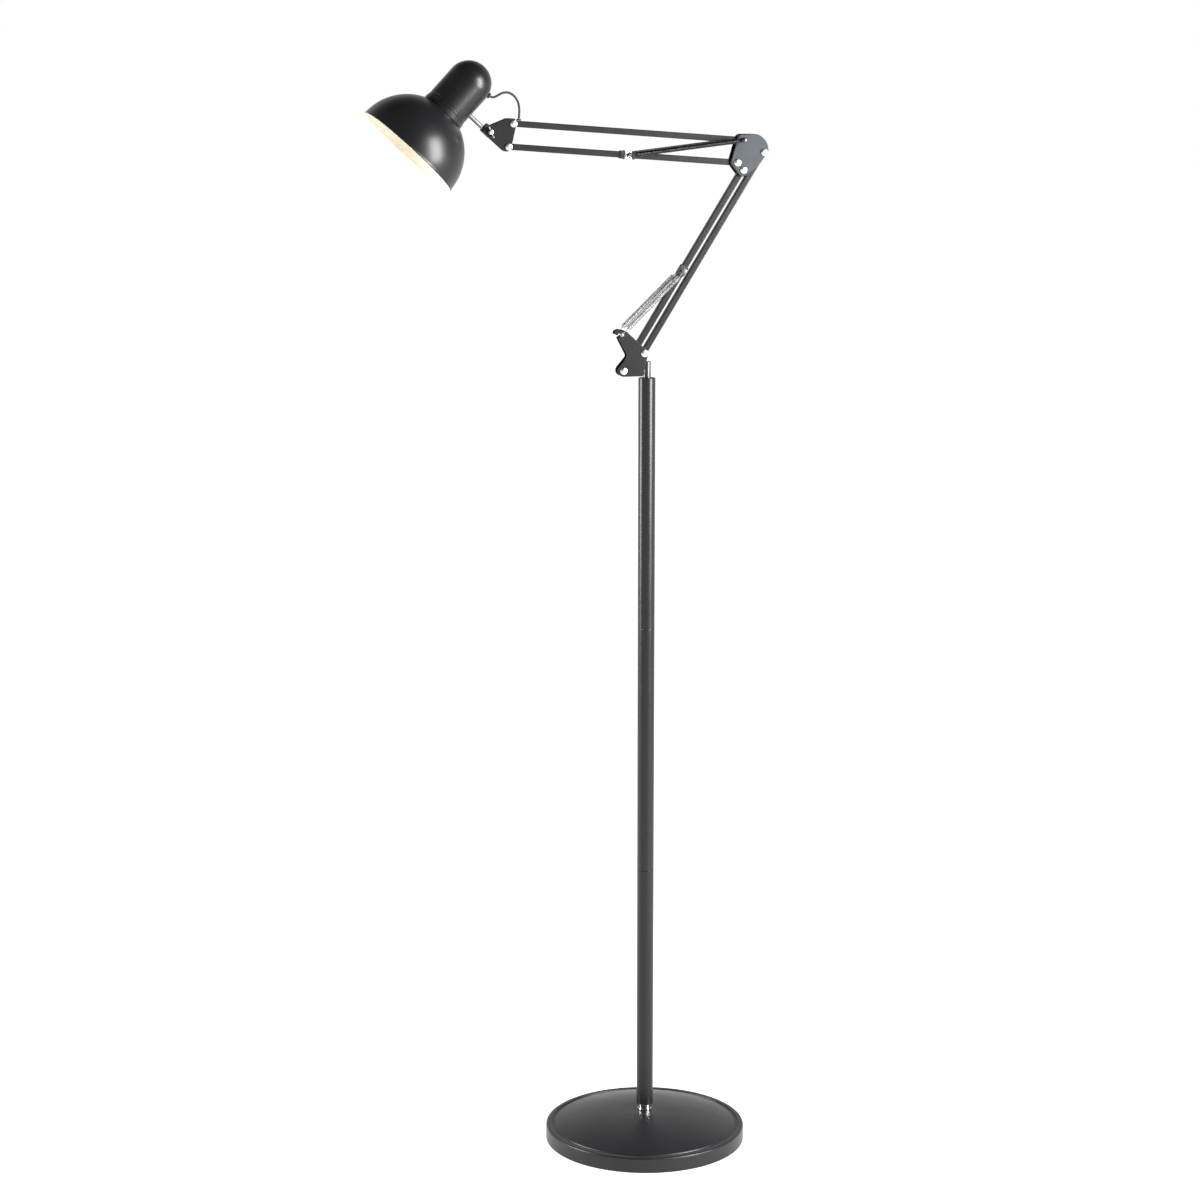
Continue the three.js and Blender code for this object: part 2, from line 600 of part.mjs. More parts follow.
const rodNutX = Math.sqrt((NECK_R - NECK_WALL) ** 2 - ROD_NUT_R ** 2) - 2 * GAP;
const rodStart = rodNutX - 5.5;
add(head, "head_rod", rodX(ROD_R, rodStart, rodEnd, 0, ROD_HEIGHT, 18), chrome);
const rodNut = cut(
  rodX(ROD_NUT_R, rodNutX - 4, rodNutX, 0, ROD_HEIGHT, 6),
  rodX(ROD_R + GAP, rodNutX - 5, rodNutX + 1, 0, ROD_HEIGHT, 16),
);
add(head, "rod_nut", rodNut, steel);

const arcPoints = (radius, centreZ, from, to, steps) => {
  const points = [];
  for (let i = 0; i <= steps; i += 1) {
    const angle = from + ((to - from) * i) / steps;
    points.push([radius * Math.cos(angle), centreZ + radius * Math.sin(angle)]);
  }
  return points;
};

// Shade: a spun hemisphere with a hole for the holder.
const shadeHoleR = HOLDER_R + 1.6;
const shadeIn = SHADE_R - SHADE_WALL;
const shadeOuterArc = arcPoints(SHADE_R, 0, 0, Math.acos(shadeHoleR / SHADE_R), 12);
const shadeInnerArc = arcPoints(shadeIn, 0, 0, Math.acos(shadeHoleR / shadeIn), 12).reverse();
add(head, "shade", turned([...shadeOuterArc, ...shadeInnerArc, [SHADE_R, 0]], 40), blackPaint);

// The ring nut inside the shade, the step ring outside it, and the holder between them.
const nutRingR = HOLDER_R + RING_NUT_W;
const nutRingTop = Math.sqrt(shadeIn ** 2 - nutRingR ** 2) - 1.2;
const ringNut = ring(HOLDER_R + GAP, nutRingR, nutRingTop - RING_NUT_H, nutRingTop, 28);
add(head, "shade_ring_nut", ringNut, whitePlastic);
const holderLow = nutRingTop - 14;
const socketBottom = holderLow + SOCKET_DEPTH;
const holder = cut(
  rodZ(HOLDER_R, holderLow, holderLow + HOLDER_H, 28),
  rodZ(SOCKET_R, holderLow - 1, socketBottom, 24),
);
add(head, "lamp_holder", holder, whitePlastic);

const stepR = NECK_R + 1.2;
const seat = SHADE_R + 0.6;
const stepArc = arcPoints(seat, 0, Math.acos(stepR / seat), Math.acos(shadeHoleR / seat), 4);
const neckRing = turned([...stepArc, [shadeHoleR, NECK_RING_TOP], [stepR, NECK_RING_TOP], stepArc[0]], 32);
add(head, "neck_ring", neckRing, blackPaint);

const neckCentre = NECK_END - NECK_R;
const neckLow = NECK_RING_TOP + GAP;
const neckShell = turned(
  [
    [NECK_R - NECK_WALL, neckLow],
    [NECK_R, neckLow],
    ...arcPoints(NECK_R, neckCentre, 0, Math.PI / 2, 8),
    ...arcPoints(NECK_R - NECK_WALL, neckCentre, Math.PI / 2, 0, 8),
    [NECK_R - NECK_WALL, neckLow],
  ],
  32,
);
const rodHole = rodX(ROD_R + GAP, rodNutX, NECK_R + 5, 0, ROD_HEIGHT, 16);

// The cable leaves the neck's dome through a grommet that tilts a little up from square.
const grommetR = 4.2;
const grommetNeckR = 2.8;
const grommetOut = NECK_R + 3;
const grommetTurn = (geometry) =>
  solid(geometry.rotateZ(-Math.PI / 2).rotateY(-radians(GROMMET_TILT)).translate(0, 0, neckCentre));
const grommetDisc = (r, from, to) =>
  grommetTurn(new THREE.CylinderGeometry(r, r, to - from, 16).translate(0, (from + to) / 2, 0));
const cableHole = grommetDisc(grommetNeckR + GAP, NECK_R - 4, NECK_R + 4);
add(head, "neck_housing", cut(neckShell, rodHole, cableHole), blackPaint);
const grommetStem = grommetDisc(grommetNeckR, NECK_R - 3, NECK_R + 1);
const grommetFlange = grommetDisc(grommetR, NECK_R + 2 * GAP, grommetOut);
add(head, "neck_grommet", join(grommetStem, grommetFlange), rubber);

// Bulb: a screw cap in the holder and a round glass envelope inside the shade.
const bulbNeckZ = holderLow + 2;
const globeZ = bulbNeckZ - 9 - BULB_R;
const envelope = (shrink) => {
  const points = arcPoints(BULB_R - shrink, globeZ, -Math.PI / 2, Math.acos(BULB_NECK_R / BULB_R), 9);
  points[0][0] = 0;
  return [...points, [BULB_NECK_R - shrink, bulbNeckZ]];
};
const bulbProfile = [...envelope(0), ...envelope(BULB_WALL).reverse()];
add(head, "bulb_glass", turned(bulbProfile, 24), glass);
const capLow = bulbNeckZ + GAP;
const cap = turned(
  [
    [0, capLow + 27.5],
    [5, capLow + 26.5],
    [BULB_CAP_R, capLow + 21.5],
    [BULB_CAP_R, capLow],
    [BULB_CAP_R - BULB_WALL, capLow],
    [BULB_CAP_R - BULB_WALL, capLow + 21],
    [4.6, capLow + 25.5],
    [0, capLow + 26.4],
  ],
  24,
);
add(head, "bulb_cap", cap, brass);

// ---- Cable: one short loop, held by the neck's grommet and the upper tube's
head.updateMatrixWorld(true);
foreUpperFrame.updateMatrixWorld(true);
const leaving = new THREE.Vector3(grommetOut + GAP, 0, 0)
  .applyAxisAngle(new THREE.Vector3(0, 1, 0), -radians(GROMMET_TILT))
  .add(new THREE.Vector3(0, 0, neckCentre));
const cableStart = head.localToWorld(leaving);
const arriving = new THREE.Vector3(tubeGrommetX, 0, tubeHalf + 2 * GAP + tubeGrommetH);
const cableEnd = foreUpperFrame.localToWorld(arriving);
const cableVia = [
  [3.0, -1.8],
  [7.0, -1.4],
  [12.5, 2.0],
  [19.5, 5.0],
  [27.5, 4.6],
  [35.0, -0.2],
  [40.2, -8.8],
  [41.8, -18.6],
];
const cablePath = new THREE.CatmullRomCurve3([
  cableStart,
  ...cableVia.map(([x, z]) => new THREE.Vector3(cableStart.x + x, 0, cableStart.z + z)),
  cableEnd,
]);
const cableSection = new THREE.Shape().absarc(0, 0, CABLE_R, 0, 2 * Math.PI, false);
const cableExtrusion = { steps: 26, curveSegments: 4, extrudePath: cablePath };
add(lamp, "head_cable", solid(new THREE.ExtrudeGeometry(cableSection, cableExtrusion)), rubber);

export default lamp;
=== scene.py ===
import json
import math

import bmesh
import bpy
from mathutils import Matrix, Vector


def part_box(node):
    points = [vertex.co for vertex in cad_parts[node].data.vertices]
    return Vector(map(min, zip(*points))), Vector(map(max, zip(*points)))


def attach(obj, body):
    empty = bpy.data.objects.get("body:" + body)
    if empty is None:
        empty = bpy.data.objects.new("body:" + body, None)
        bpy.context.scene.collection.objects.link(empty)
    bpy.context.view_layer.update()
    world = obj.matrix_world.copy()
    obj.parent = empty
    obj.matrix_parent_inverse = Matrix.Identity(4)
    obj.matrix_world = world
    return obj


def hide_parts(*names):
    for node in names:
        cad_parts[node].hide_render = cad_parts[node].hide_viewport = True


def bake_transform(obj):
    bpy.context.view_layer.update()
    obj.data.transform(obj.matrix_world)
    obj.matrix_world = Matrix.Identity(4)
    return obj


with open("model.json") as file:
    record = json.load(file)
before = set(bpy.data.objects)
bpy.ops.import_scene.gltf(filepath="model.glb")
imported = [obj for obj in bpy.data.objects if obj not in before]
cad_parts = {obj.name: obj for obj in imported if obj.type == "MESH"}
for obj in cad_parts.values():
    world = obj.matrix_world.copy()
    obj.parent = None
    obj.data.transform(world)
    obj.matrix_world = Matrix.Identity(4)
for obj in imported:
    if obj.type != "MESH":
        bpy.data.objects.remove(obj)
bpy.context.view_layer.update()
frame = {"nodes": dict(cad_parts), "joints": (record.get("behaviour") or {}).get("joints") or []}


# ---------------- base cover
# Deep-drawn steel pressing, 300 mm across: an upright rim, a pressed groove just inside it and a low crown.
# It is powder-coated satin black, and the pole's bolt clamps it down on the cast weight.
class Signal:
    """One socket in a node tree. Arithmetic on it adds Math nodes to the tree."""

    def __init__(self, graph, socket):
        self.graph = graph
        self.socket = socket

    def __add__(self, other):
        return self.graph.math("ADD", self, other)

    def __radd__(self, other):
        return self.graph.math("ADD", other, self)

    def __sub__(self, other):
        return self.graph.math("SUBTRACT", self, other)

    def __mul__(self, other):
        return self.graph.math("MULTIPLY", self, other)

    def __truediv__(self, other):
        return self.graph.math("DIVIDE", self, other)


class Graph:
    """A node tree that grows through node(). An output list gives one signal for each output."""

    def __init__(self, tree):
        self.tree = tree

    def node(self, kind, sockets=None, out=0, **settings):
        made = self.tree.nodes.new(kind)
        for setting, value in settings.items():
            setattr(made, setting, value)
        for socket, value in (sockets or {}).items():
            self.feed(made.inputs[socket], value)
        if isinstance(out, list):
            return [Signal(self, made.outputs[name]) for name in out]
        return Signal(self, made.outputs[out])

    def math(self, operation, *sockets):
        return self.node("ShaderNodeMath", dict(enumerate(sockets)), operation=operation)

    def smooth_step(self, value, low, high):
        sockets = {"Value": value, "From Min": low, "From Max": high}
        return self.node("ShaderNodeMapRange", sockets, interpolation_type="SMOOTHSTEP")

    def feed(self, socket, value):
        if isinstance(value, Signal):
            self.tree.links.new(value.socket, socket)
        elif socket.type == "RGBA":
            socket.default_value = (*value, 1)
        else:
            socket.default_value = value


class Finish(Graph):
    """A surface finish on the object's own coordinates."""

    def __init__(self, name, **surface):
        self.material = bpy.data.materials.new(name)
        self.material.use_nodes = True
        super().__init__(self.material.node_tree)
        self.shader = self.tree.nodes["Principled BSDF"]
        self.place = self.node("ShaderNodeTexCoord", out="Object")
        for socket, value in surface.items():
            self.set(socket.replace("_", " "), value)

    def set(self, socket, value):
        self.feed(self.shader.inputs[socket], value)

    def noise(self, scale, detail=3, roughness=0.55, stretch=(1, 1, 1)):
        """Noise from 0 to 1 on the object's own coordinates; scale is in features a metre."""
        place = self.node("ShaderNodeMapping", {"Vector": self.place, "Scale": stretch})
        sockets = {"Vector": place, "Scale": scale, "Detail": detail, "Roughness": roughness}
        return self.node("ShaderNodeTexNoise", sockets)

    def blend(self, share, low, high):
        """A colour between two colours."""
        return self.node("ShaderNodeMix", {0: share, 6: low, 7: high}, 2, data_type="RGBA", blend_type="MIX")

    def bump(self, height, strength, distance):
        sockets = {"Height": height, "Strength": strength, "Distance": distance}
        self.set("Normal", self.node("ShaderNodeBump", sockets))


def powder_coat(name, low, high, roughness, peel=1.0):
    """Satin powder coat: slow tonal drift, a fine orange-peel surface and a few dull specks of dust."""
    coat = Finish(name, IOR=1.39)
    drift = coat.noise(14, 4)
    dust = coat.noise(900, 2, 0.7)
    specks = coat.node("ShaderNodeMapRange", {"Value": dust, "From Min": 0.62, "From Max": 0.72})
    coat.set("Base Color", coat.blend(drift * 0.8 + specks * 0.2, low, high))
    coat.set("Roughness", roughness - 0.05 + coat.noise(45, 5) * 0.1 + specks * 0.05)
    coat.bump(coat.noise(1500, 2, 0.5) + coat.noise(320, 1) * 0.5, 0.06 * peel, 0.0001)
    return coat.material


black_coat = powder_coat("black_powder_coat", (0.008, 0.008, 0.009), (0.015, 0.015, 0.017), 0.37)


def rounded(corners, steps=5):
    """An outline's corners (a, b, radius), each turned into a tangent arc."""
    points = []
    for index, (a, b, radius) in enumerate(corners):
        at = Vector((a, b))
        if radius == 0:
            points.append(at)
            continue
        back = (Vector(corners[index - 1][:2]) - at).normalized()
        ahead = (Vector(corners[(index + 1) % len(corners)][:2]) - at).normalized()
        half = math.acos(max(-1, min(1, back.dot(ahead)))) / 2
        centre = at + (back + ahead).normalized() * radius / math.sin(half)
        start = at + back * radius / math.tan(half) - centre
        end = at + ahead * radius / math.tan(half) - centre
        sweep = math.atan2(start.x * end.y - start.y * end.x, start.dot(end))
        for step in range(steps + 1):
            points.append(centre + Matrix.Rotation(sweep * step / steps, 2) @ start)
    return points


def settled(made_object):
    """Applies an object's modifiers, so that its place is in a plain mesh."""
    evaluated = made_object.evaluated_get(bpy.context.evaluated_depsgraph_get())
    mesh = bpy.data.meshes.new_from_object(evaluated)
    made_object.modifiers.clear()
    made_object.data = mesh
    return made_object


def even_shading(made_object, smooth=40):
    """Smooth between small facets, flat across broad faces and sharp where the surface turns a corner."""
    mesh = made_object.data
    if "custom_normal" in mesh.attributes:
        mesh.attributes.remove(mesh.attributes["custom_normal"])
    mesh.set_sharp_from_angle(angle=math.radians(smooth))
    weighted = made_object.modifiers.new("even", "WEIGHTED_NORMAL")
    weighted.keep_sharp = True
    return settled(made_object)


def in_scene(name, data):
    made_object = bpy.data.objects.new(name, data)
    bpy.context.scene.collection.objects.link(made_object)
    return made_object


def piece(name, verts, faces, *finishes, smooth=40):
    """A mesh object at the origin, its faces turned outwards."""
    mesh = bpy.data.meshes.new(name)
    work = bmesh.new()
    made = [work.verts.new(v) for v in verts]
    for face in faces:
        work.faces.new([made[i] for i in face])
    bmesh.ops.remove_doubles(work, verts=work.verts, dist=1e-6)
    bmesh.ops.recalc_face_normals(work, faces=work.faces)
    for face in work.faces:
        face.smooth = True
    work.to_mesh(mesh)
    work.free()
    for finish in finishes:
        mesh.materials.append(finish)
    return even_shading(in_scene(name, mesh), smooth)


MM = 0.001


def turned(name, profile, *finishes, place=Matrix(), sides=128, smooth=40):
    """A closed profile of (radius, height) points in millimetres turned about the Z axis of place."""
    verts = []
    rows = []
    for radius, height, *_ in profile:
        if radius < 0.001:
            rows.append([len(verts)] * sides)
            verts.append(place @ Vector((0, 0, height * MM)))
            continue
        rows.append(list(range(len(verts), len(verts) + sides)))
        for step in range(sides):
            turn = 2 * math.pi * step / sides
            verts.append(place @ (Vector((radius * math.cos(turn), radius * math.sin(turn), height)) * MM))
    faces = []
    for low, high in zip(rows, rows[1:] + rows[:1]):
        if low[0] == low[1] and high[0] == high[1]:
            continue
        for step in range(sides):
            beyond = (step + 1) % sides
            corners = [low[step], low[beyond], high[beyond], high[step]]
            faces.append(list(dict.fromkeys(corners)))
    return piece(name, verts, faces, *finishes, smooth=smooth)


def crown(low, high, inner, outer, steps=22):
    """The crown's parabola, from the groove up to the collar's seat."""
    points = []
    for step in range(steps + 1):
        share = 1 - step / steps
        points.append((inner + (outer - inner) * share, high - (high - low) * share**2, 0))
    return points


def fitted(made_object, body, coating, *cad_nodes):
    """The finished piece rides on its body and takes the place of its plain solids."""
    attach(made_object, body)
    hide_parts(*cad_nodes)


base_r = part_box("base_cover")[1][0] / MM
cover_profile = rounded([
    (base_r, 1, 0.5), (base_r, 24, 3.2), (141.6, 24, 1.2), (141.2, 22.6, 0.8), (138.2, 22.6, 0.8),
    (137.2, 24.1, 0.8),
    *crown(24.6, 44, 15.4, 136),
    (5.6, 44, 0.3), (5.6, 42.4, 0), *reversed(crown(23, 42.4, 15.4, 136)),
    (138.5, 21, 0), (147, 21, 0), (148.4, 19.4, 0), (148.4, 1, 0.3),
])
base_cover = turned("base_cover_pressing", cover_profile, black_coat, sides=192)
gland_place = Matrix.Translation((0, 0, 13 * MM)) @ Matrix.Rotation(-math.pi / 2, 4, "X")
gland_cut = turned("gland_cut", [(0, 130), (5.3, 130), (5.3, 160), (0, 160)], place=gland_place, sides=48)


def bored(made_object, *tools, smooth=40):
    """Cuts the tools' shapes out of an object."""
    for tool in tools:
        cut = made_object.modifiers.new(tool.name, "BOOLEAN")
        cut.object = tool
        cut.solver = "EXACT"
    even_shading(settled(made_object), smooth)
    for tool in tools:
        bpy.data.objects.remove(tool)


bored(base_cover, gland_cut)
fitted(base_cover, "stand", "black_paint", "base_cover")


# ---------------- weight, pad and foot bolt
# Grey-iron casting under the cover with a boss for the bolt, on a die-cut rubber pad that keeps it off the
# floor. The bolt's head and washer sit in the casting's recess.
def cast_iron():
    iron = Finish("cast_iron", Metallic=0.6)
    grain = iron.noise(260, 5, 0.65)
    iron.set("Base Color", iron.blend(iron.noise(30, 4), (0.035, 0.036, 0.04), (0.075, 0.073, 0.07)))
    iron.set("Roughness", 0.62 + grain * 0.25)
    iron.bump(grain, 0.5, 0.0004)
    return iron.material


def rubber(name, colour, grain_scale=1400, strength=0.25):
    """Black moulded rubber: matt, with a fine even grain and a little bloom."""
    moulded = Finish(name, IOR=1.45)
    bloom = moulded.noise(40, 4)
    paler = tuple(c * 1.9 + 0.004 for c in colour)
    moulded.set("Base Color", moulded.blend(bloom, colour, paler))
    moulded.set("Roughness", 0.62 + bloom * 0.2)
    moulded.bump(moulded.noise(grain_scale, 2), strength, 0.00015)
    return moulded.material


def bare_metal(name, low, high, roughness, brush=(1, 1, 1)):
    """Plated or machined steel with fine turning lines and a slight unevenness of polish."""
    metal = Finish(name, Metallic=1.0)
    lines = metal.noise(500, 3, 0.5, brush)
    metal.set("Base Color", metal.blend(metal.noise(60, 3), low, high))
    metal.set("Roughness", roughness + lines * 0.12)
    metal.bump(lines, 0.08, 0.0001)
    return metal.material


bright_steel = bare_metal("nickel_plated_steel", (0.66, 0.66, 0.66), (0.8, 0.8, 0.79), 0.27, (1, 6, 1))
dark_steel = bare_metal("blackened_steel", (0.05, 0.05, 0.054), (0.1, 0.1, 0.105), 0.28, (1, 1, 0.2))
pad_rubber = rubber("pad_rubber", (0.012, 0.012, 0.013), 500, 0.5)
base_pad = turned("base_pad_disc", rounded([(0, 0, 0), (141.4, 0, 0.6), (141.4, 2, 0.6), (0, 2, 0)]),
                  pad_rubber, sides=160)
fitted(base_pad, "stand", "rubber", "base_pad")


def refinished(name, finish):
    """A plain solid that is good enough as it is gets its real finish."""
    frame["nodes"][name].data.materials.clear()
    frame["nodes"][name].data.materials.append(finish)


refinished("base_weight", cast_iron())
for name in ("base_bolt", "base_washer", "pole_foot_insert", "pole_stud_lower", "pole_stud_upper"):
    refinished(name, bright_steel)

# ---------------- cord inlet
# Moulded rubber grommet pressed into the back of the rim, with grip ribs round it and an open bore for the
# cord.
ribs = []
for start in (151.6, 153.4, 155.2, 157):
    ribs += [(7.5, start, 0.3), (7.5, start + 1, 0.3), (6.9, start + 1.2, 0.2), (6.9, start + 1.7, 0.2)]
gland_profile = rounded([
    (3.6, 145, 0), (3.6, 159, 0.6), (6.7, 159, 0.8), *reversed(ribs), (7.5, 150.3, 0.4), (5, 150.3, 0),
    (5, 143, 0.5),
    (0, 143, 0), (0, 145, 0),
], 3)
cord_gland = turned("cord_inlet_grommet", gland_profile, rubber("grommet_rubber", (0.01, 0.01, 0.011)),
                    place=gland_place, sides=64)
fitted(cord_gland, "stand", "rubber", "cord_gland")

# ---------------- collar
# Turned and polished brass ring, chrome plated, clamped between the base's crown and the pole's foot.
chrome = bare_metal("polished_chrome", (0.84, 0.85, 0.87), (0.9, 0.9, 0.91), 0.04, (1, 1, 8))
collar_profile = rounded([(5.3, 44.3, 0.2), (10.4, 44.3, 0.6), (10.4, 46.4, 0.5), (9.7, 47.2, 0.4),
                          (9.7, 51.2, 0.4),
                          (10.4, 51.9, 0.5), (10.4, 53.7, 0.5), (5.3, 53.7, 0.2)])
base_collar = turned("foot_collar", collar_profile, chrome, sides=96)
fitted(base_collar, "stand", "chrome", "base_collar")

# ---------------- pole
# Three lengths of 25 mm drawn steel tube, screwed together over hidden studs and powder-coated one by one.
# The ends are faced and slightly chamfered, which leaves a fine seam at each joint.
pole_coat = powder_coat("pole_powder_coat", (0.007, 0.007, 0.008), (0.012, 0.012, 0.013), 0.27, 0.4)
for name in ("pole_lower", "pole_middle", "pole_upper"):
    low, high = (corner[2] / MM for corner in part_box(name))
    section = rounded([(11.3, low, 0.25), (12.5, low, 0.35), (12.5, high, 0.35), (11.3, high, 0.25)], 3)
    tube = turned(f"{name}_tube", section, pole_coat, sides=96)
    fitted(tube, "stand", "black_paint", name)

# The bush in the pole's top is turned from black nylon, pressed in flush, and the yoke's pin turns in its
# bore.
nylon = rubber("black_nylon", (0.016, 0.016, 0.018), 2200, 0.08)
bush_profile = rounded([(0, 1104, 0), (11, 1104, 0.4), (11, 1159.7, 0.5), (5.8, 1159.7, 0.5),
                        (5.8, 1109.7, 0),
                        (0, 1109.7, 0)], 3)
top_bush = turned("pole_top_bushing", bush_profile, nylon, sides=96)
fitted(top_bush, "stand", "black_plastic", "pole_top_bush")


# ---------------- yoke
# Two stamped plates, 2 mm steel with rolled edges, each with a claw for the lower springs.
# They hold the tongue of a blackened steel pin that turns in the pole's top.
def pivot(name):
    """A hinge's place in the arm's plane, in millimetres."""
    x, _, z = next(joint["pos_m"] for joint in frame["joints"] if joint["name"] == name)
    return Vector((x, z)) / MM


pivot_a = pivot("lower_arm_lift")
pivot_b = pivot("lower_right_link")
claw = pivot("lower_spring_swing")


def from_pivot(point, x, z, radius):
    return (point.x + x, point.y + z, radius)


def stamped_pair(name, body, outline, holes, edge, *finishes):
    """A front and a rear plate of 2 mm steel in the arm's plane, their edges rolled to the given radius."""
    loops = [outline]
    for centre in holes:
        turns = [2 * math.pi * step / 28 for step in range(28)]
        loops.append([centre + 2.8 * Vector((math.cos(turn), math.sin(turn))) for turn in turns])
    plates = []
    for word, middle in (("front", -8.3), ("rear", 8.3)):
        flat = bpy.data.curves.new(name, "CURVE")
        flat.dimensions = "2D"
        flat.fill_mode = "BOTH"
        flat.extrude = (1 - edge) * MM
        flat.bevel_depth = edge * MM
        flat.bevel_resolution = 3
        flat.offset = -edge * MM
        for loop in loops:
            spline = flat.splines.new("POLY")
            spline.points.add(len(loop) - 1)
            spline.use_cyclic_u = True
            for point, (x, z) in zip(spline.points, loop):
                point.co = (x * MM, z * MM, 0, 1)
        drawn = in_scene(name, flat)
        mesh = bpy.data.meshes.new_from_object(drawn.evaluated_get(bpy.context.evaluated_depsgraph_get()))
        bpy.data.objects.remove(drawn)
        mesh.transform(Matrix.Translation((0, middle * MM, 0)) @ Matrix.Rotation(math.pi / 2, 4, "X"))
        faces = [list(p.vertices) for p in mesh.polygons]
        verts = [v.co.copy() for v in mesh.vertices]
        plate = piece(f"{name}_{word}_pressing", verts, faces, *finishes, smooth=50)
        bpy.data.meshes.remove(mesh)
        fitted(plate, body, "black_paint", f"{name}_{word}")
        plates.append(plate)
    return plates


yoke_outline = rounded([
    from_pivot(pivot_a, -18.2, -8.2, 8.2), from_pivot(pivot_a, 28.3, -8.2, 2),
    from_pivot(pivot_b, 6.1, 1.8, 5.5),
    from_pivot(claw, 8.0, 4.6, 4), from_pivot(claw, -2.0, 6.8, 3.5), from_pivot(claw, -7.8, 4.2, 2.4),
    from_pivot(claw, -8.4, -0.8, 1.3), from_pivot(claw, -4.4, -1.0, 1.2), from_pivot(claw, -3.6, 2.5, 1.1),
    from_pivot(claw, 1.0, 2.7, 1.6), from_pivot(claw, 1.8, -2.1, 1.5), from_pivot(claw, -3.2, -5.6, 1.4),
    from_pivot(pivot_a, 6.1, 20.8, 4),
])
plate_coat = powder_coat("plate_powder_coat", (0.006, 0.006, 0.0066), (0.011, 0.011, 0.0122), 0.32)
stamped_pair("yoke_plate", "yoke", yoke_outline, [pivot_a, pivot_b], 0.5, plate_coat)

pin_bottom, pin_top = (corner[2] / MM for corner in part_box("swivel_pin"))
pin_profile = rounded([(0, pin_bottom, 0), (5.5, pin_bottom, 0.8), (5.5, pin_top, 1), (0, pin_top, 0)], 4)
swivel_pin = turned("swivel_pin_turned", pin_profile, dark_steel, sides=64)


def block(name, x, y, z, edge, *finishes, place=Matrix()):
    """A rectangular block with rounded edges, its sizes in millimetres along the axes of place."""
    work = bmesh.new()
    bmesh.ops.create_cube(work, size=1)
    for vert in work.verts:
        for axis, (low, high) in enumerate((x, y, z)):
            vert.co[axis] = (high if vert.co[axis] > 0 else low) * MM
    bmesh.ops.bevel(work, geom=work.edges, offset=edge * MM, segments=3, profile=0.5, affect="EDGES")
    verts = [place @ v.co for v in work.verts]
    faces = [[v.index for v in f.verts] for f in work.faces]
    work.free()
    return piece(name, verts, faces, *finishes, smooth=35)


def joined(name, *parts):
    """Several meshes made one piece."""
    verts, faces = [], []
    for part in parts:
        faces += [[i + len(verts) for i in p.vertices] for p in part.data.polygons]
        verts += [v.co.copy() for v in part.data.vertices]
    finishes = list(parts[0].data.materials)
    for part in parts:
        bpy.data.objects.remove(part)
    return piece(name, verts, faces, *finishes)


tongue = block("tongue", (-24.2, -4.5), (-7, 7), (1166, 1180), 0.8, dark_steel)
swivel_pin = joined("swivel_pin_with_tongue", swivel_pin, tongue)
fitted(swivel_pin, "yoke", "dark_steel", "swivel_pin")


# ---------------- lower arm
# Two square steel tubes side by side, corners drawn round, ends cut to a half round about their pivots.
# One Geometry Nodes tree draws the tube along its line; the wall is added inwards afterwards.
class Plan(Graph):
    """A Geometry Nodes tree with named inputs for its sizes."""

    def __init__(self, name, **sizes):
        super().__init__(bpy.data.node_groups.new(name, "GeometryNodeTree"))
        interface = self.tree.interface
        interface.new_socket("Geometry", in_out="OUTPUT", socket_type="NodeSocketGeometry")
        interface.new_socket("Geometry", in_out="INPUT", socket_type="NodeSocketGeometry")
        kinds = {int: "NodeSocketInt", float: "NodeSocketFloat", str: "NodeSocketMaterial"}
        for size, value in sizes.items():
            label = size.replace("_", " ")
            socket = interface.new_socket(label, in_out="INPUT", socket_type=kinds[type(value)])
            if type(value) is not str:
                socket.default_value = value
        self.given = self.tree.nodes.new("NodeGroupInput")
        self.result = self.tree.nodes.new("NodeGroupOutput")

    def size(self, name):
        return Signal(self, self.given.outputs[name])

    def join(self, *parts):
        made = self.tree.nodes.new("GeometryNodeJoinGeometry")
        for part in parts:
            self.tree.links.new(part.socket, made.inputs[0])
        return Signal(self, made.outputs[0])

    def vector(self, x=0.0, y=0.0, z=0.0):
        return self.node("ShaderNodeCombineXYZ", {0: x, 1: y, 2: z})

    def vectors(self, operation, first, second):
        """Vector maths; a vector is scaled by a number."""
        sockets = {0: first, "Scale" if operation == "SCALE" else 1: second}
        return self.node("ShaderNodeVectorMath", sockets, operation=operation)

    def finish(self, shape):
        realized = self.node("GeometryNodeRealizeInstances", {0: shape})
        smooth = self.node("GeometryNodeSetShadeSmooth", {"Geometry": realized})
        coated = self.node("GeometryNodeSetMaterial", {"Geometry": smooth, "Material": self.size("Finish")})
        self.tree.links.new(coated.socket, self.result.inputs[0])

    def build(self, name, verts, edges, finish, smooth=40, **sizes):
        """Runs the tree on some points or edges, and returns the result as a plain mesh object."""
        mesh = bpy.data.meshes.new(name)
        mesh.from_pydata([tuple(v) for v in verts], edges, [])
        made_object = in_scene(name, mesh)
        modifier = made_object.modifiers.new("plan", "NODES")
        modifier.node_group = self.tree
        values = {size.replace("_", " "): value for size, value in sizes.items()}
        values["Finish"] = finish
        for item in self.tree.interface.items_tree:
            if item.in_out == "INPUT" and item.name in values:
                modifier[item.identifier] = values[item.name]
        return even_shading(settled(made_object), smooth)


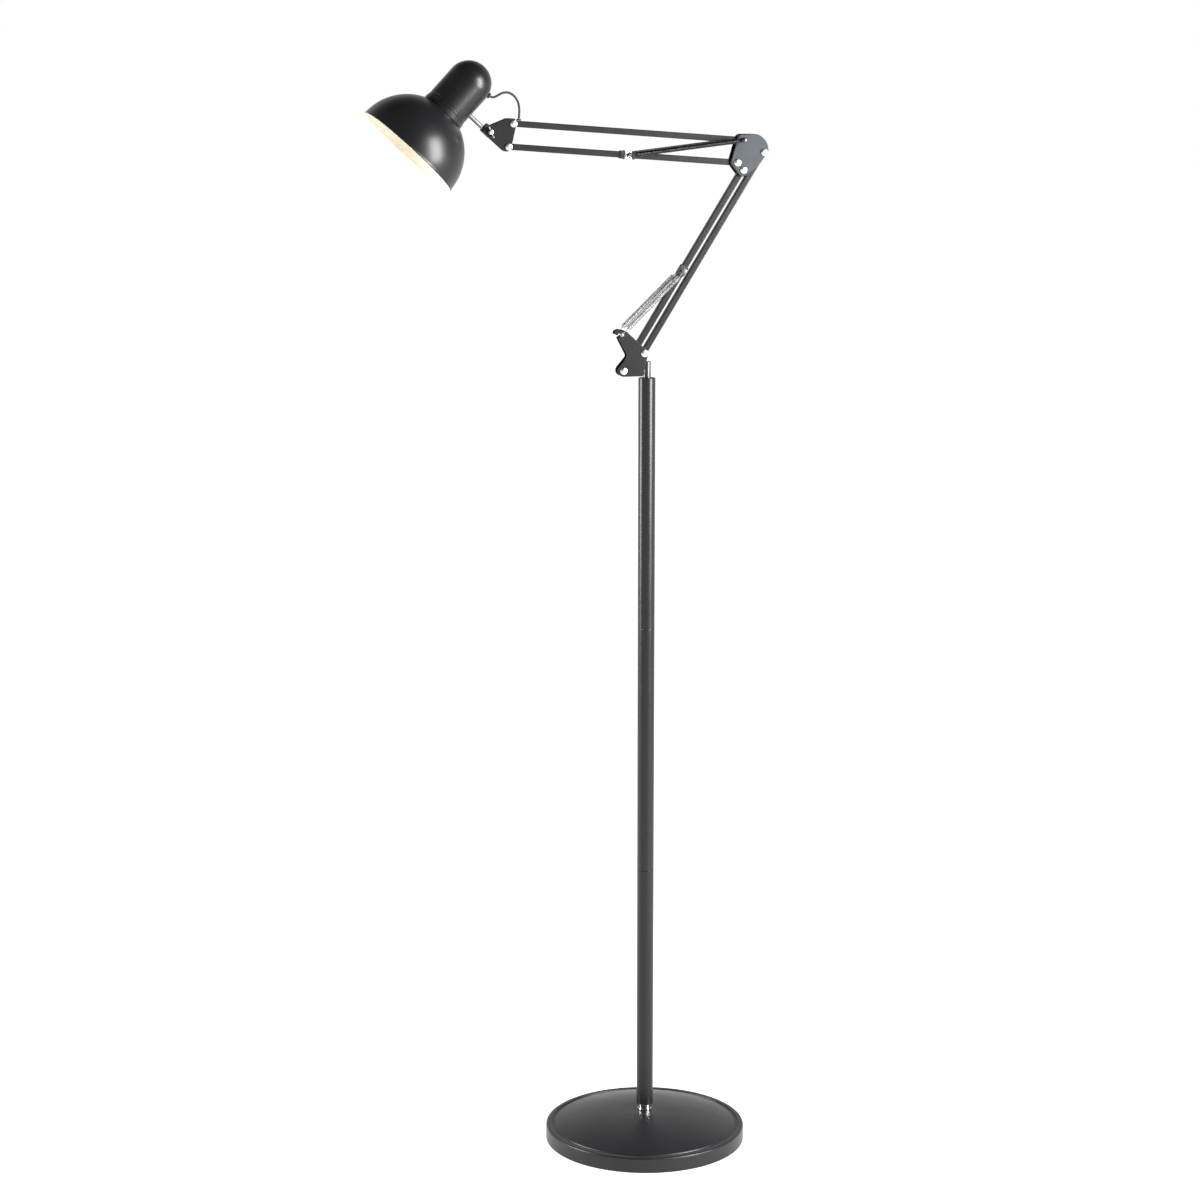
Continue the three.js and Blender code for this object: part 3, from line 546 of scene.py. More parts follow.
def square_tube_plan():
    plan = Plan("square_tube", Across=0.009, Corner=0.0013, Finish="")
    across, half = plan.size("Across"), plan.size("Across") * 0.5
    line = plan.node("GeometryNodeMeshToCurve", {0: plan.size("Geometry")})
    square = plan.node("GeometryNodeCurvePrimitiveQuadrilateral", {"Width": across, "Height": across})
    drawn = plan.node("GeometryNodeFilletCurve", {"Curve": square, "Radius": plan.size("Corner"), "Count": 5},
                      mode="POLY")
    section = plan.node("GeometryNodeResampleCurve", {"Curve": drawn, "Count": 88})
    tube = plan.node("GeometryNodeCurveToMesh", {"Curve": line, "Profile Curve": section})
    # Each end is pushed out to a half circle seen from the side.
    x, z = plan.node("ShaderNodeSeparateXYZ", {0: plan.node("GeometryNodeInputPosition")}, ["X", "Z"])
    reach = plan.math("SQRT", plan.math("MAXIMUM", half * half - z * z, 0.0)) * plan.math("SIGN", x)
    moved = plan.node("GeometryNodeSetPosition", {"Geometry": tube, "Offset": plan.vector(x=reach)})
    plan.finish(moved)
    return plan


tube_plan = square_tube_plan()
arm_coat = powder_coat("arm_powder_coat", (0.007, 0.007, 0.0077), (0.012, 0.012, 0.0134), 0.33)
ARM_L = 336


def along(start, end):
    """A frame at start whose X axis runs to end in the arm's plane."""
    way = (end - start).normalized()
    turn = Matrix(((way.x, 0, -way.y), (0, 1, 0), (way.y, 0, way.x))).to_4x4()
    return Matrix.Translation((start.x * MM, 0, start.y * MM)) @ turn


def arm_tube(name, body, node, start, end):
    """A tube between two pivots. It is drawn about its own middle, then given its wall and put in place."""
    middle = ARM_L / 2 * MM
    tube = tube_plan.build(name, [(-middle, 0, 0), (middle, 0, 0)], [(0, 1)], arm_coat, 30)
    wall = tube.modifiers.new("wall", "SOLIDIFY")
    wall.thickness = 1 * MM
    wall.offset = -1
    even_shading(settled(tube), 30)
    tube.data.transform(along(start, end) @ Matrix.Translation((middle, 0, 0)))
    fitted(tube, body, "black_paint", node)


pivot_r2 = pivot("elbow_level")
pivot_r3 = pivot_b + pivot_r2 - pivot_a
arm_tube("lower_tube_left_drawn", "lower_arm_left", "lower_tube_left", pivot_a, pivot_r2)
arm_tube("lower_tube_right_drawn", "lower_arm_right", "lower_tube_right", pivot_b, pivot_r3)

# ---------------- anchor sleeve and cross pins
# A moulded nylon sleeve on the left tube, with a plain nickel-plated pin through both that holds the
# springs' eyes. The claw has a pin of the same kind lying in its notches.
lower_frame = along(pivot_a, pivot_r2)
LOWER_ANCHOR = 168


def tube_sleeve(name, at, length, inner, outer, edge, place, finish):
    """A square sleeve round a tube: an outer box with rounded edges and a square passage."""
    ends, wide, hollow = (at - length / 2, at + length / 2), (-outer, outer), (-inner, inner)
    body = block(name, ends, wide, wide, edge, finish, place=place)
    passage = block("passage", (at - length, at + length), hollow, hollow, 0.2, place=place)
    bored(body, passage, smooth=35)
    return body


def across(point, side=-1):
    """A frame whose Z axis runs across the arm through a point, to the front (1) or to the back (-1)."""
    return Matrix.Translation((point.x * MM, 0, point.y * MM)) @ Matrix.Rotation(side * math.pi / 2, 4, "X")


def cross_pin(name, centre, radius, finish):
    """A round pin across the arm, its ends chamfered."""
    profile = rounded([(0, -20.7, 0), (radius, -20.7, 0.35), (radius, 20.7, 0.35), (0, 20.7, 0)], 3)
    return turned(name, profile, finish, place=across(centre, 1), sides=32)


anchor_sleeve = tube_sleeve("lower_anchor_sleeve_moulded", LOWER_ANCHOR, 14, 4.8, 5.7, 0.7, lower_frame,
                            nylon)
fitted(anchor_sleeve, "lower_arm_left", "black_plastic", "lower_anchor_sleeve")
lower_anchor = pivot_a + (pivot_r2 - pivot_a).normalized() * LOWER_ANCHOR
anchor_pin = cross_pin("lower_anchor_pin_turned", lower_anchor, 1.5, bright_steel)
fitted(anchor_pin, "lower_arm_left", "bright_steel", "lower_anchor_pin")
claw_pin = cross_pin("claw_pin_turned", claw, 1.2, bright_steel)
fitted(claw_pin, "yoke", "bright_steel", "claw_pin")


# ---------------- springs
# Close-wound tension springs of hard-drawn wire with a round eye at each end, one on each side of the arm.
# The lower pair is bright, the forearm's pair is blackened. The wire follows the line between two pins.
def spring_plan():
    plan = Plan("tension_spring", Wire_radius=0.00055, Coil_radius=0.0031, Turns=60, Tail=0.011,
                Eye_radius=0.0021,
                Finish="")
    wire, coil, eye, tail = (plan.size(n) for n in ("Wire radius", "Coil radius", "Eye radius", "Tail"))
    line = plan.node("GeometryNodeMeshToCurve", {0: plan.size("Geometry")})
    length = plan.node("GeometryNodeCurveLength", {0: line})
    steps = plan.node("GeometryNodeResampleCurve", {"Curve": line, "Count": plan.size("Turns") * 14 + 60})
    here = plan.node("GeometryNodeSplineParameter", out="Factor") * length
    left = length - here
    way = plan.node("GeometryNodeInputTangent")
    aside = (0.0, 1.0, 0.0)
    wound = plan.node("ShaderNodeMapRange", {"Value": here, "From Min": tail, "From Max": length - tail})
    angle = wound * plan.size("Turns") * (2 * math.pi)
    low, high = tail - 0.0015, tail + 0.0015
    radius = coil * plan.smooth_step(here, low, high) * plan.smooth_step(left, low, high)
    across_way = plan.vectors("CROSS_PRODUCT", way, aside)
    out = plan.vectors("ADD", plan.vectors("SCALE", aside, plan.math("COSINE", angle) * radius),
                       plan.vectors("SCALE", across_way, plan.math("SINE", angle) * radius))
    # The wire stops at the rim of each eye.
    rims = plan.smooth_step(here, eye, 0.0) - plan.smooth_step(left, eye, 0.0)
    offset = plan.vectors("ADD", out, plan.vectors("SCALE", way, rims * eye))
    wire_line = plan.node("GeometryNodeSetPosition", {"Geometry": steps, "Offset": offset})
    section = plan.node("GeometryNodeCurvePrimitiveCircle", {"Radius": wire, "Resolution": 8})
    body = plan.node("GeometryNodeCurveToMesh", {"Curve": wire_line, "Profile Curve": section,
                                                 "Fill Caps": True})
    ring = plan.node("GeometryNodeCurvePrimitiveCircle", {"Radius": eye, "Resolution": 28})
    ring = plan.node("GeometryNodeCurveToMesh", {"Curve": ring, "Profile Curve": section})
    eyes = plan.node("GeometryNodeInstanceOnPoints",
                     {"Points": plan.size("Geometry"), "Instance": ring, "Rotation": (math.pi / 2, 0, 0)})
    plan.finish(plan.join(body, eyes))
    return plan


spring = spring_plan()
SPRING_Y = 16


def spring_pair(name, start, end, bodies, bend, finish, coating, *cad_nodes, **sizes):
    """A spring on each side of the arm between two pins. Its bodies and bend are not used."""
    for side, word in ((-1, "front"), (1, "rear")):
        pins = [Vector((pin.x * MM, side * SPRING_Y * MM, pin.y * MM)) for pin in (start, end)]
        made = spring.build(f"{name}_{word}_wound", pins, [(0, 1)], finish, 60, **sizes)
        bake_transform(made)
        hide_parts(*(f"{node}_{word}" for node in cad_nodes))


spring_wire = bare_metal("bright_spring_wire", (0.22, 0.22, 0.225), (0.32, 0.32, 0.32), 0.42)
free_end = 12 / (lower_anchor - claw).length
spring_pair("lower_spring", claw, lower_anchor, ("lower_spring_foot", "lower_spring_head"),
            (free_end, 1 - free_end),
            spring_wire, "bright_steel", "lower_spring", "lower_spring_eye",
            Turns=74, Coil_radius=0.00315, Tail=0.012, Eye_radius=0.0027)

# ---------------- elbow
# Two dished pressings, deeper than the other plates, their rims rolled inwards. Their flat outer faces are a
# smoother, lighter blue-grey: a painted sheen standing in for the light they reflect. Four rivets hold them,
# and the longest also carries the forearm's springs.
pivot_r4 = pivot("forearm_lift")
pivot_r1 = pivot("forearm_lower_link")
elbow_outline = rounded([
    from_pivot(pivot_r2, -2.4, -12.4, 8.4), from_pivot(pivot_r2, 21, 3.8, 18),
    from_pivot(pivot_r3, 6.6, 1.1, 4.6),
    from_pivot(pivot_r4, 38.8, 8.8, 23), from_pivot(pivot_r4, -5.9, 8.8, 7.6),
    from_pivot(pivot_r1, -10.8, -0.6, 7.6),
], 12)
# Painted sheen: a lighter blue-grey coat that stands in for the light the flat faces reflect.
elbow_painted_sheen = powder_coat("elbow_face_coat", (0.034, 0.038, 0.046), (0.044, 0.049, 0.058), 0.31, 0.5)
elbow_pair = stamped_pair("elbow_plate", "elbow", elbow_outline, [pivot_r1, pivot_r2, pivot_r3, pivot_r4],
                          0.95,
                          plate_coat, elbow_painted_sheen)
# Only the flat outer faces take the painted sheen; the rolled rims keep the black coat.
for outer, plate in zip((-1, 1), elbow_pair):
    for face in plate.data.polygons:
        face.material_index = 1 if face.normal.y * outer > 0.99 else 0


# ---------------- rivets and washers
# Nickel-plated rivets with a low domed head at each end, closed cold over the plates.
# A nylon washer keeps each tube in the middle between its plates.
def rivet_plan():
    plan = Plan("domed_rivet", Shank_radius=0.0025, Half_length=0.0096, Head_radius=0.0053,
                Head_height=0.0024,
                Finish="")
    radius, height, half = (plan.size(n) for n in ("Head radius", "Head height", "Half length"))
    skirt = height * 0.3
    ball = plan.node("GeometryNodeMeshUVSphere", {"Segments": 40, "Rings": 20, "Radius": radius})
    z = plan.node("ShaderNodeSeparateXYZ", {0: plan.node("GeometryNodeInputPosition")}, "Z")
    lower_half = plan.math("LESS_THAN", z, -0.00001)
    dome = plan.node("GeometryNodeDeleteGeometry", {"Geometry": ball, "Selection": lower_half},
                     domain="POINT")
    flat = plan.vector(1.0, 1.0, (height - skirt) / radius)
    dome = plan.node("GeometryNodeTransform",
                     {"Geometry": dome, "Translation": plan.vector(z=half + skirt), "Scale": flat})
    rim = plan.node("GeometryNodeMeshCylinder", {"Vertices": 40, "Radius": radius, "Depth": skirt})
    rim = plan.node("GeometryNodeTransform", {"Geometry": rim,
                                              "Translation": plan.vector(z=half + skirt * 0.5)})
    head = plan.join(dome, rim)
    far_head = plan.node("GeometryNodeTransform", {"Geometry": head, "Rotation": (math.pi, 0, 0)})
    shank = plan.node("GeometryNodeMeshCylinder",
                      {"Vertices": 28, "Radius": plan.size("Shank radius"), "Depth": half * 2})
    plan.finish(plan.node("GeometryNodeInstanceOnPoints",
                          {"Points": plan.size("Geometry"), "Instance": plan.join(head, far_head, shank),
                           "Rotation": (math.pi / 2, 0, 0)}))
    return plan


rivet = rivet_plan()


def rivets(name, body, points, *cad_nodes, finish=bright_steel, slot="bright_steel", **sizes):
    made = rivet.build(name, [(p.x * MM, 0, p.y * MM) for p in points], [], finish, 35, **sizes)
    fitted(made, body, slot, *cad_nodes)
    return made


rivets("yoke_rivets", "yoke", [pivot_a, pivot_b], "yoke_rivet_left", "yoke_rivet_right")
rivets("elbow_rivets", "elbow", [pivot_r1, pivot_r2, pivot_r3], "elbow_rivet_inner", "elbow_rivet_lower",
       "elbow_rivet_outer")
rivets("elbow_spring_rivet", "elbow", [pivot_r4], "elbow_spring_pin", finish=dark_steel, slot="dark_steel",
       Half_length=0.0198, Head_radius=0.0041)


def washers(name, body, points):
    """A nylon washer on each side of every tube end."""
    profile = rounded([(2.8, 4.7, 0.2), (4.3, 4.7, 0.3), (4.3, 7.1, 0.3), (2.8, 7.1, 0.2)], 2)
    rings = []
    for point in points:
        for side in (-1, 1):
            rings.append(turned(name, profile, nylon, place=across(point, side), sides=32))
    made = joined(name, *rings)
    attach(made, body)


washers("yoke_washers", "yoke", [pivot_a, pivot_b])
washers("elbow_washers", "elbow", [pivot_r1, pivot_r2, pivot_r3, pivot_r4])

# ---------------- forearm
# The same square tubes as the lower arm. The lower one carries the springs' clamp: a nylon sleeve under a
# steel band, with a blackened cross pin. The upper one has the grommet where the cable enters.
pivot_h1 = pivot("bracket_level")
pivot_h2 = pivot_h1 + pivot_r1 - pivot_r4
arm_tube("forearm_tube_upper_drawn", "forearm_upper", "forearm_tube_upper", pivot_h1, pivot_r4)
arm_tube("forearm_tube_lower_drawn", "forearm_lower", "forearm_tube_lower", pivot_h2, pivot_r1)
fore_frame = along(pivot_h2, pivot_r1)
CLAMP_AT = 174
clamp_sleeve = tube_sleeve("forearm_clamp_sleeve_moulded", CLAMP_AT, 22, 4.8, 5.7, 0.7, fore_frame, nylon)
fitted(clamp_sleeve, "forearm_lower", "black_plastic", "forearm_clamp_sleeve")
clamp_band = tube_sleeve("forearm_clamp_band_formed", CLAMP_AT, 10, 6.0, 6.7, 0.45, fore_frame, bright_steel)
fitted(clamp_band, "forearm_lower", "bright_steel", "forearm_clamp_band")
fore_clamp = pivot_h2 + (pivot_r1 - pivot_h2).normalized() * CLAMP_AT
clamp_pin = cross_pin("forearm_clamp_pin_turned", fore_clamp, 1.5, dark_steel)
fitted(clamp_pin, "forearm_lower", "dark_steel", "forearm_clamp_pin")

dark_wire = bare_metal("blackened_spring_wire", (0.035, 0.035, 0.038), (0.07, 0.07, 0.074), 0.3)
spring_pair("upper_spring", pivot_r4, fore_clamp, ("elbow", "forearm_lower"), (0.02, 0.32), dark_wire,
            "dark_steel",
            "upper_spring", Turns=104, Coil_radius=0.00305, Tail=0.010, Eye_radius=0.0031)

upper_frame = along(pivot_h1, pivot_r4)
grommet_rubber = rubber("cable_grommet_rubber", (0.01, 0.01, 0.011))
grommet_profile = rounded([(0, 4.8, 0), (3.6, 4.8, 0.5), (3.2, 7.2, 0.7), (2.0, 7.2, 0.3), (0, 7.2, 0)], 3)
tube_grommet = turned("tube_grommet_moulded", grommet_profile, grommet_rubber,
                      place=upper_frame @ Matrix.Translation((9 * MM, 0, 0)), sides=40)
fitted(tube_grommet, "forearm_upper", "rubber", "tube_grommet")

# ---------------- head bracket
# Two more stamped plates of the same steel. They close the forearm's parallelogram and clamp the tilting
# block between them with a bolt through the rear and a wing nut at the front.
tilt_bolt = pivot("head_tilt")
head_outline = rounded([
    from_pivot(pivot_h2, 1.2, -12.6, 6.5), from_pivot(pivot_h1, 6.4, 7.4, 6),
    from_pivot(pivot_h1, -8.6, 7.4, 3),
    from_pivot(tilt_bolt, -13.4, 3.4, 3),
])
stamped_pair("head_plate", "head_bracket", head_outline, [pivot_h1, pivot_h2, tilt_bolt], 0.5, plate_coat)
rivets("head_rivets", "head_bracket", [pivot_h1, pivot_h2], "head_rivet_upper", "head_rivet_lower")
washers("head_washers", "head_bracket", [pivot_h1, pivot_h2])

bolt_place = across(tilt_bolt)
shank = turned("clamp_bolt_shank", rounded([(0, -16.1, 0), (2.5, -16.1, 0.5), (2.5, 10, 0), (0, 10, 0)], 3),
               bright_steel, place=bolt_place, sides=40)
hexagon = turned("clamp_bolt_head", rounded([(0, 9.6, 0), (4.4, 9.6, 0.2), (4.4, 13.2, 0.5), (0, 13.2, 0)],
                                            3),
                 bright_steel, place=bolt_place, sides=6)
clamp_bolt = joined("clamp_bolt_with_head", shank, hexagon)
fitted(clamp_bolt, "head_bracket", "bright_steel", "clamp_bolt")

# ---------------- wing nut
# Zinc die casting, nickel plated: a short hub with two upturned wings for finger and thumb.
hub_profile = rounded([(2.8, 9.6, 0.2), (4.1, 9.6, 0.4), (3.8, 14.6, 0.8), (2.8, 14.6, 0.2)], 4)
hub = turned("wing_nut_hub", hub_profile, bright_steel, place=across(tilt_bolt, 1), sides=48)
wing_line = [(2.6, 0.9), (4.8, 0.5), (6.9, 2.4), (8.6, 4.6), (9.0, 6.3), (8.5, 7.7), (7.3, 8.2), (6.2, 7.7),
             (4.6, 5.9),
             (2.6, 4.4)]
wings = [hub]
for side in (-1, 1):
    work = bmesh.new()
    loop = [work.verts.new((side * x * MM, -0.9 * MM, -y * MM)) for x, y in wing_line]
    face = work.faces.new(loop)
    pushed = bmesh.ops.extrude_face_region(work, geom=[face])
    bmesh.ops.translate(work, verts=[v for v in pushed["geom"] if isinstance(v, bmesh.types.BMVert)],
                        vec=(0, 1.8 * MM, 0))
    rims = [e for e in work.edges if abs(e.verts[0].co.y - e.verts[1].co.y) < 1e-7]
    bmesh.ops.bevel(work, geom=rims, offset=0.45 * MM, segments=3, profile=0.5, affect="EDGES")
    seat = (Matrix.Translation((tilt_bolt.x * MM, -9.6 * MM, tilt_bolt.y * MM))
            @ Matrix.Rotation(math.radians(67), 4, "Y") @ Matrix.Rotation(-math.pi / 2, 4, "X"))
    verts = [seat @ v.co for v in work.verts]
    faces = [[v.index for v in f.verts] for f in work.faces]
    work.free()
    wings.append(piece(f"wing_{side}", verts, faces, bright_steel))
wing_nut = joined("wing_nut_cast", *wings)
fitted(wing_nut, "wing_nut", "bright_steel", "wing_nut")

# ---------------- tilting block and rod
# A black nylon block between the bracket's plates turns on the clamp bolt. A polished rod is pressed into
# it and carries the head, which can twist on the rod; a nut inside the neck holds the rod's other end.
HEAD_TURN = math.radians(43)
ROD_AT = 97
ROD_REACH = 66.8
BOLT_AT = 99.6
head_turn = Matrix.Rotation(HEAD_TURN, 4, "Y")
mouth = Vector((tilt_bolt.x * MM, 0, tilt_bolt.y * MM)) - head_turn @ Vector((ROD_REACH * MM, 0,
                                                                              BOLT_AT * MM))
head = Matrix.Translation(mouth) @ head_turn
across_head = Matrix.Rotation(math.pi / 2, 4, "Y")
knuckle = block("knuckle_block_moulded", (ROD_REACH - 11, ROD_REACH + 6.5), (-7, 7),
                (BOLT_AT - 7.2, BOLT_AT + 6.2),
                1.1, nylon, place=head)
fitted(knuckle, "head_knuckle", "black_plastic", "knuckle_block")
rod_profile = rounded([(0, 24.1, 0), (3.2, 24.1, 0.4), (3.2, 62.3, 0.4), (0, 62.3, 0)], 3)
satin_steel = bare_metal("satin_steel", (0.26, 0.26, 0.265), (0.36, 0.36, 0.36), 0.24, (1, 6, 1))
head_rod = turned("head_rod_ground", rod_profile, satin_steel,
                  place=head @ Matrix.Translation((0, 0, ROD_AT * MM)) @ across_head, sides=48)
fitted(head_rod, "lamp_head", "chrome", "head_rod")
refinished("rod_nut", bright_steel)

# ---------------- shade
# Spun from sheet steel to half a sphere 160 mm across, its edge rolled into a small bead.
# Powder-coated satin black outside and white enamel inside.
SHADE_R = 80


def white_enamel():
    enamel = Finish("white_enamel", IOR=1.5)
    enamel.set("Base Color", enamel.blend(enamel.noise(20, 3), (0.69, 0.64, 0.535), (0.73, 0.69, 0.6)))
    enamel.set("Roughness", 0.28 + enamel.noise(60, 4) * 0.12)
    enamel.bump(enamel.noise(350, 2), 0.06, 0.0002)
    return enamel.material


def arc(radius, centre, start, end, steps):
    """Points of an arc in a profile, its angles in degrees from the radius axis."""
    points = []
    for step in range(steps + 1):
        turn = math.radians(start + (end - start) * step / steps)
        points.append((radius * math.cos(turn), centre + radius * math.sin(turn), 0))
    return points


hole_r = 20.6
outer_end = math.degrees(math.acos(hole_r / SHADE_R))
inner_end = math.degrees(math.acos(hole_r / (SHADE_R - 1)))
bead = [(79.5 + 0.95 * math.cos(math.radians(t)), 0.95 + 0.95 * math.sin(math.radians(t)), 0)
        for t in range(-160, 41, 20)]
shade_profile = rounded([*bead, *arc(SHADE_R, 0, 2.2, outer_end, 60),
                         *arc(SHADE_R - 1, 0, inner_end, 2.4, 60)])
shade_coat = powder_coat("shade_powder_coat", (0.006, 0.006, 0.0068), (0.011, 0.011, 0.012), 0.33)
shade = turned("shade_spun", shade_profile, shade_coat, white_enamel(), place=head, sides=192)
to_head = head.inverted()
for face in shade.data.polygons:
    spot = to_head @ face.center
    outward = Vector((spot.x, spot.y, 0)).dot(to_head.to_3x3() @ face.normal)
    face.material_index = 1 if outward < 0 else 0
fitted(shade, "lamp_head", "black_paint", "shade")

# ---------------- holder, ring nut and bulb
# White heat-proof holder that passes through the shade, with a ribbed ring nut inside it, and a frosted
# screw bulb. The bulb is lit: its glass glows warm, its tone a little uneven.
white_plastic = Finish("heatproof_plastic", IOR=1.46)
yellowing = white_plastic.noise(30, 3)
white_plastic.set("Base Color", white_plastic.blend(yellowing, (0.8, 0.78, 0.72), (0.87, 0.85, 0.8)))
white_plastic.set("Roughness", 0.42 + white_plastic.noise(90, 3) * 0.12)
white_plastic.bump(white_plastic.noise(900, 2), 0.08, 0.0001)
holder_low = 59.04
holder_profile = rounded([(13.6, holder_low, 0.3), (19, holder_low, 0.6), (19, holder_low + 60, 0.8),
                          (0, holder_low + 60, 0), (0, holder_low + 34, 0), (13.6, holder_low + 34, 0)], 3)
holder = turned("lamp_holder_moulded", holder_profile, white_plastic.material, place=head, sides=96)
fitted(holder, "lamp_head", "white_plastic", "lamp_holder")


def ribbed_nut_plan():
    plan = Plan("ribbed_ring", Ribs=28, Ring_radius=0.027, Rib_radius=0.0011, Rib_height=0.005, Finish="")
    circle = plan.node("GeometryNodeMeshCircle",
                       {"Vertices": plan.size("Ribs"), "Radius": plan.size("Ring radius")})
    rib = plan.node("GeometryNodeMeshCylinder",
                    {"Vertices": 10, "Radius": plan.size("Rib radius"), "Depth": plan.size("Rib height")})
    plan.finish(plan.node("GeometryNodeInstanceOnPoints", {"Points": circle, "Instance": rib}))
    return plan


nut_low, nut_high = 67.04, 73.04
nut_profile = rounded([(19.3, nut_low, 0.4), (26.2, nut_low, 1.2), (26.2, nut_high, 0.5),
                       (19.3, nut_high, 0.3)], 4)
ring_nut = turned("ring_nut_body", nut_profile, white_plastic.material, place=head, sides=96)
ribs_made = ribbed_nut_plan().build("ring_nut_ribs", [(0, 0, 0)], [], white_plastic.material, 35,
                                    Ring_radius=0.0259, Rib_radius=0.001, Rib_height=0.0046)
ribs_made.data.transform(head @ Matrix.Translation((0, 0, (nut_low + nut_high) / 2 * MM)))
ring_nut = joined("shade_ring_nut_moulded", ring_nut, ribs_made)
fitted(ring_nut, "lamp_head", "white_plastic", "shade_ring_nut")

frosted = Finish("lit_frosted_glass", IOR=1.45, Roughness=0.35, Emission_Strength=0.75)
frosted.set("Base Color", (0.95, 0.9, 0.8))
frosted.set("Emission Color", frosted.blend(frosted.noise(18, 2), (1.0, 0.78, 0.5), (1.0, 0.88, 0.68)))
globe_at = 29.54
neck_angle = math.degrees(math.acos(12.4 / 22.5))
inner_angle = math.degrees(math.acos(11.4 / 21.5))
bulb_profile = [*arc(22.5, globe_at, -90, neck_angle, 40), (12.4, 61, 0), (11.4, 61, 0),
                *arc(21.5, globe_at, inner_angle, -90, 40)]
bulb = turned("bulb_envelope", bulb_profile, frosted.material, place=head, sides=64)
fitted(bulb, "lamp_head", "bulb_glass", "bulb_glass")
refinished("bulb_cap", bare_metal("rolled_cap_metal", (0.6, 0.57, 0.5), (0.75, 0.72, 0.66), 0.3))

# ---------------- neck
# A step ring seats the drawn steel neck on the shade; the neck is a straight cup with a half-round end.
# Both are powder-coated with the shade, and the rod and the cable pass through its side.
seat_r = 80.6
step_profile = rounded([
    *arc(seat_r, 0, math.degrees(math.acos(33 / seat_r)), math.degrees(math.acos(hole_r / seat_r)), 16),
    (hole_r, 80.5, 0.2), (32.6, 80.5, 0.5), (32.6, 78.4, 0.2), (33, 78.0, 0.2), (33, 76, 0),
])
neck_ring = turned("neck_step_ring", step_profile, shade_coat, place=head, sides=128)
fitted(neck_ring, "lamp_head", "black_paint", "neck_ring")
dome_at = 129.2
neck_profile = rounded([
    (30.8, 80.8, 0.2), (31.8, 80.8, 0.6), (31.8, 84.0, 0.3), (31.35, 84.4, 0.3), (31.35, 85.4, 0.3),
    (31.8, 85.8, 0.3),
    *arc(31.8, dome_at, 0, 90, 40), *arc(30.8, dome_at, 90, 0, 40),
])
neck = turned("neck_housing_drawn", neck_profile, shade_coat, place=head, sides=160)
rod_cut = turned("rod_cut", [(0, 28), (3.5, 28), (3.5, 36), (0, 36)], sides=40,
                 place=head @ Matrix.Translation((0, 0, ROD_AT * MM)) @ across_head)
GROMMET_TILT = math.radians(12)
grommet_turn = Matrix.Rotation(-GROMMET_TILT, 4, "Y")
grommet_place = head @ Matrix.Translation((0, 0, dome_at * MM)) @ grommet_turn @ across_head
cable_cut = turned("cable_cut", [(0, 28), (3.1, 28), (3.1, 36), (0, 36)], place=grommet_place, sides=40)
bored(neck, rod_cut, cable_cut)
fitted(neck, "lamp_head", "black_paint", "neck_housing")
neck_grommet_profile = rounded([(0, 28.8, 0), (2.8, 28.8, 0.3), (2.8, 32.4, 0), (4.2, 32.4, 0.5),
                                (3.9, 34.8, 0.9),
                                (1.8, 34.8, 0.3), (0, 34.8, 0)], 3)
neck_grommet = turned("neck_grommet_moulded", neck_grommet_profile, grommet_rubber, place=grommet_place,
                      sides=40)
fitted(neck_grommet, "lamp_head", "rubber", "neck_grommet")

# ---------------- cable
# Round rubber-sheathed cable, 3.2 mm, in one short loop from the neck's grommet to the upper tube's.
# It is made in three lengths end to end: the neck's end, the loop and the arm's end.
cable_start = grommet_place @ Vector((0, 0, 35.1 * MM))
cable_end = upper_frame @ Vector((9 * MM, 0, 7.5 * MM))
via = [(3.0, -1.3), (7.0, -0.8), (12.5, 2.0), (19.5, 5.0), (27.5, 4.6), (35.0, -0.2), (40.2, -8.8),
       (41.8, -18.6)]
knots = [cable_start, *(cable_start + Vector((x * MM, 0, z * MM)) for x, z in via), cable_end]
CABLE_STEPS = 14


def cable_line(knots, steps=CABLE_STEPS):
    """A smooth line through the knots, as closely spaced points."""
    padded = [knots[0] * 2 - knots[1], *knots, knots[-1] * 2 - knots[-2]]
    points = []
    for p0, p1, p2, p3 in zip(padded, padded[1:], padded[2:], padded[3:]):
        for step in range(steps):
            t = step / steps
            points.append(0.5 * ((2 * p1) + (p2 - p0) * t + (2 * p0 - 5 * p1 + 4 * p2 - p3) * t**2
                                 + (3 * p1 - p0 - 3 * p2 + p3) * t**3))
    return [*points, knots[-1]]


def cable_length(name, line, radius=1.6, sides=16):
    """A length of cable along part of the line, with closed ends."""
    verts, faces = [], []
    for index, point in enumerate(line):
        way = (line[min(index + 1, len(line) - 1)] - line[max(index - 1, 0)]).normalized()
        aside = Vector((0, 1, 0))
        up = way.cross(aside)
        for step in range(sides):
            turn = 2 * math.pi * step / sides
            verts.append(point + (aside * math.cos(turn) + up * math.sin(turn)) * radius * MM)
    for row in range(len(line) - 1):
        for step in range(sides):
            beyond = (step + 1) % sides
            low, high = row * sides, (row + 1) * sides
            faces.append([low + step, low + beyond, high + beyond, high + step])
    faces += [list(range(sides)), list(range(len(verts) - sides, len(verts)))]
    return piece(name, verts, faces, cable_sheath, smooth=60)


cable_sheath = rubber("cable_sheath", (0.014, 0.014, 0.015), 1800, 0.12)
line = cable_line(knots)
first, second = 3 * CABLE_STEPS, 8 * CABLE_STEPS
for name, part, near, far in (
    ("head_cable_neck_end", line[: first + 1], "lamp_head", "head_knuckle"),
    ("head_cable_loop", line[first: second + 1], "head_knuckle", "head_bracket"),
    ("head_cable_arm_end", line[second:], "head_bracket", "forearm_upper"),
):
    made = cable_length(name, part)
    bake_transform(made)
    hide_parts("head_cable")

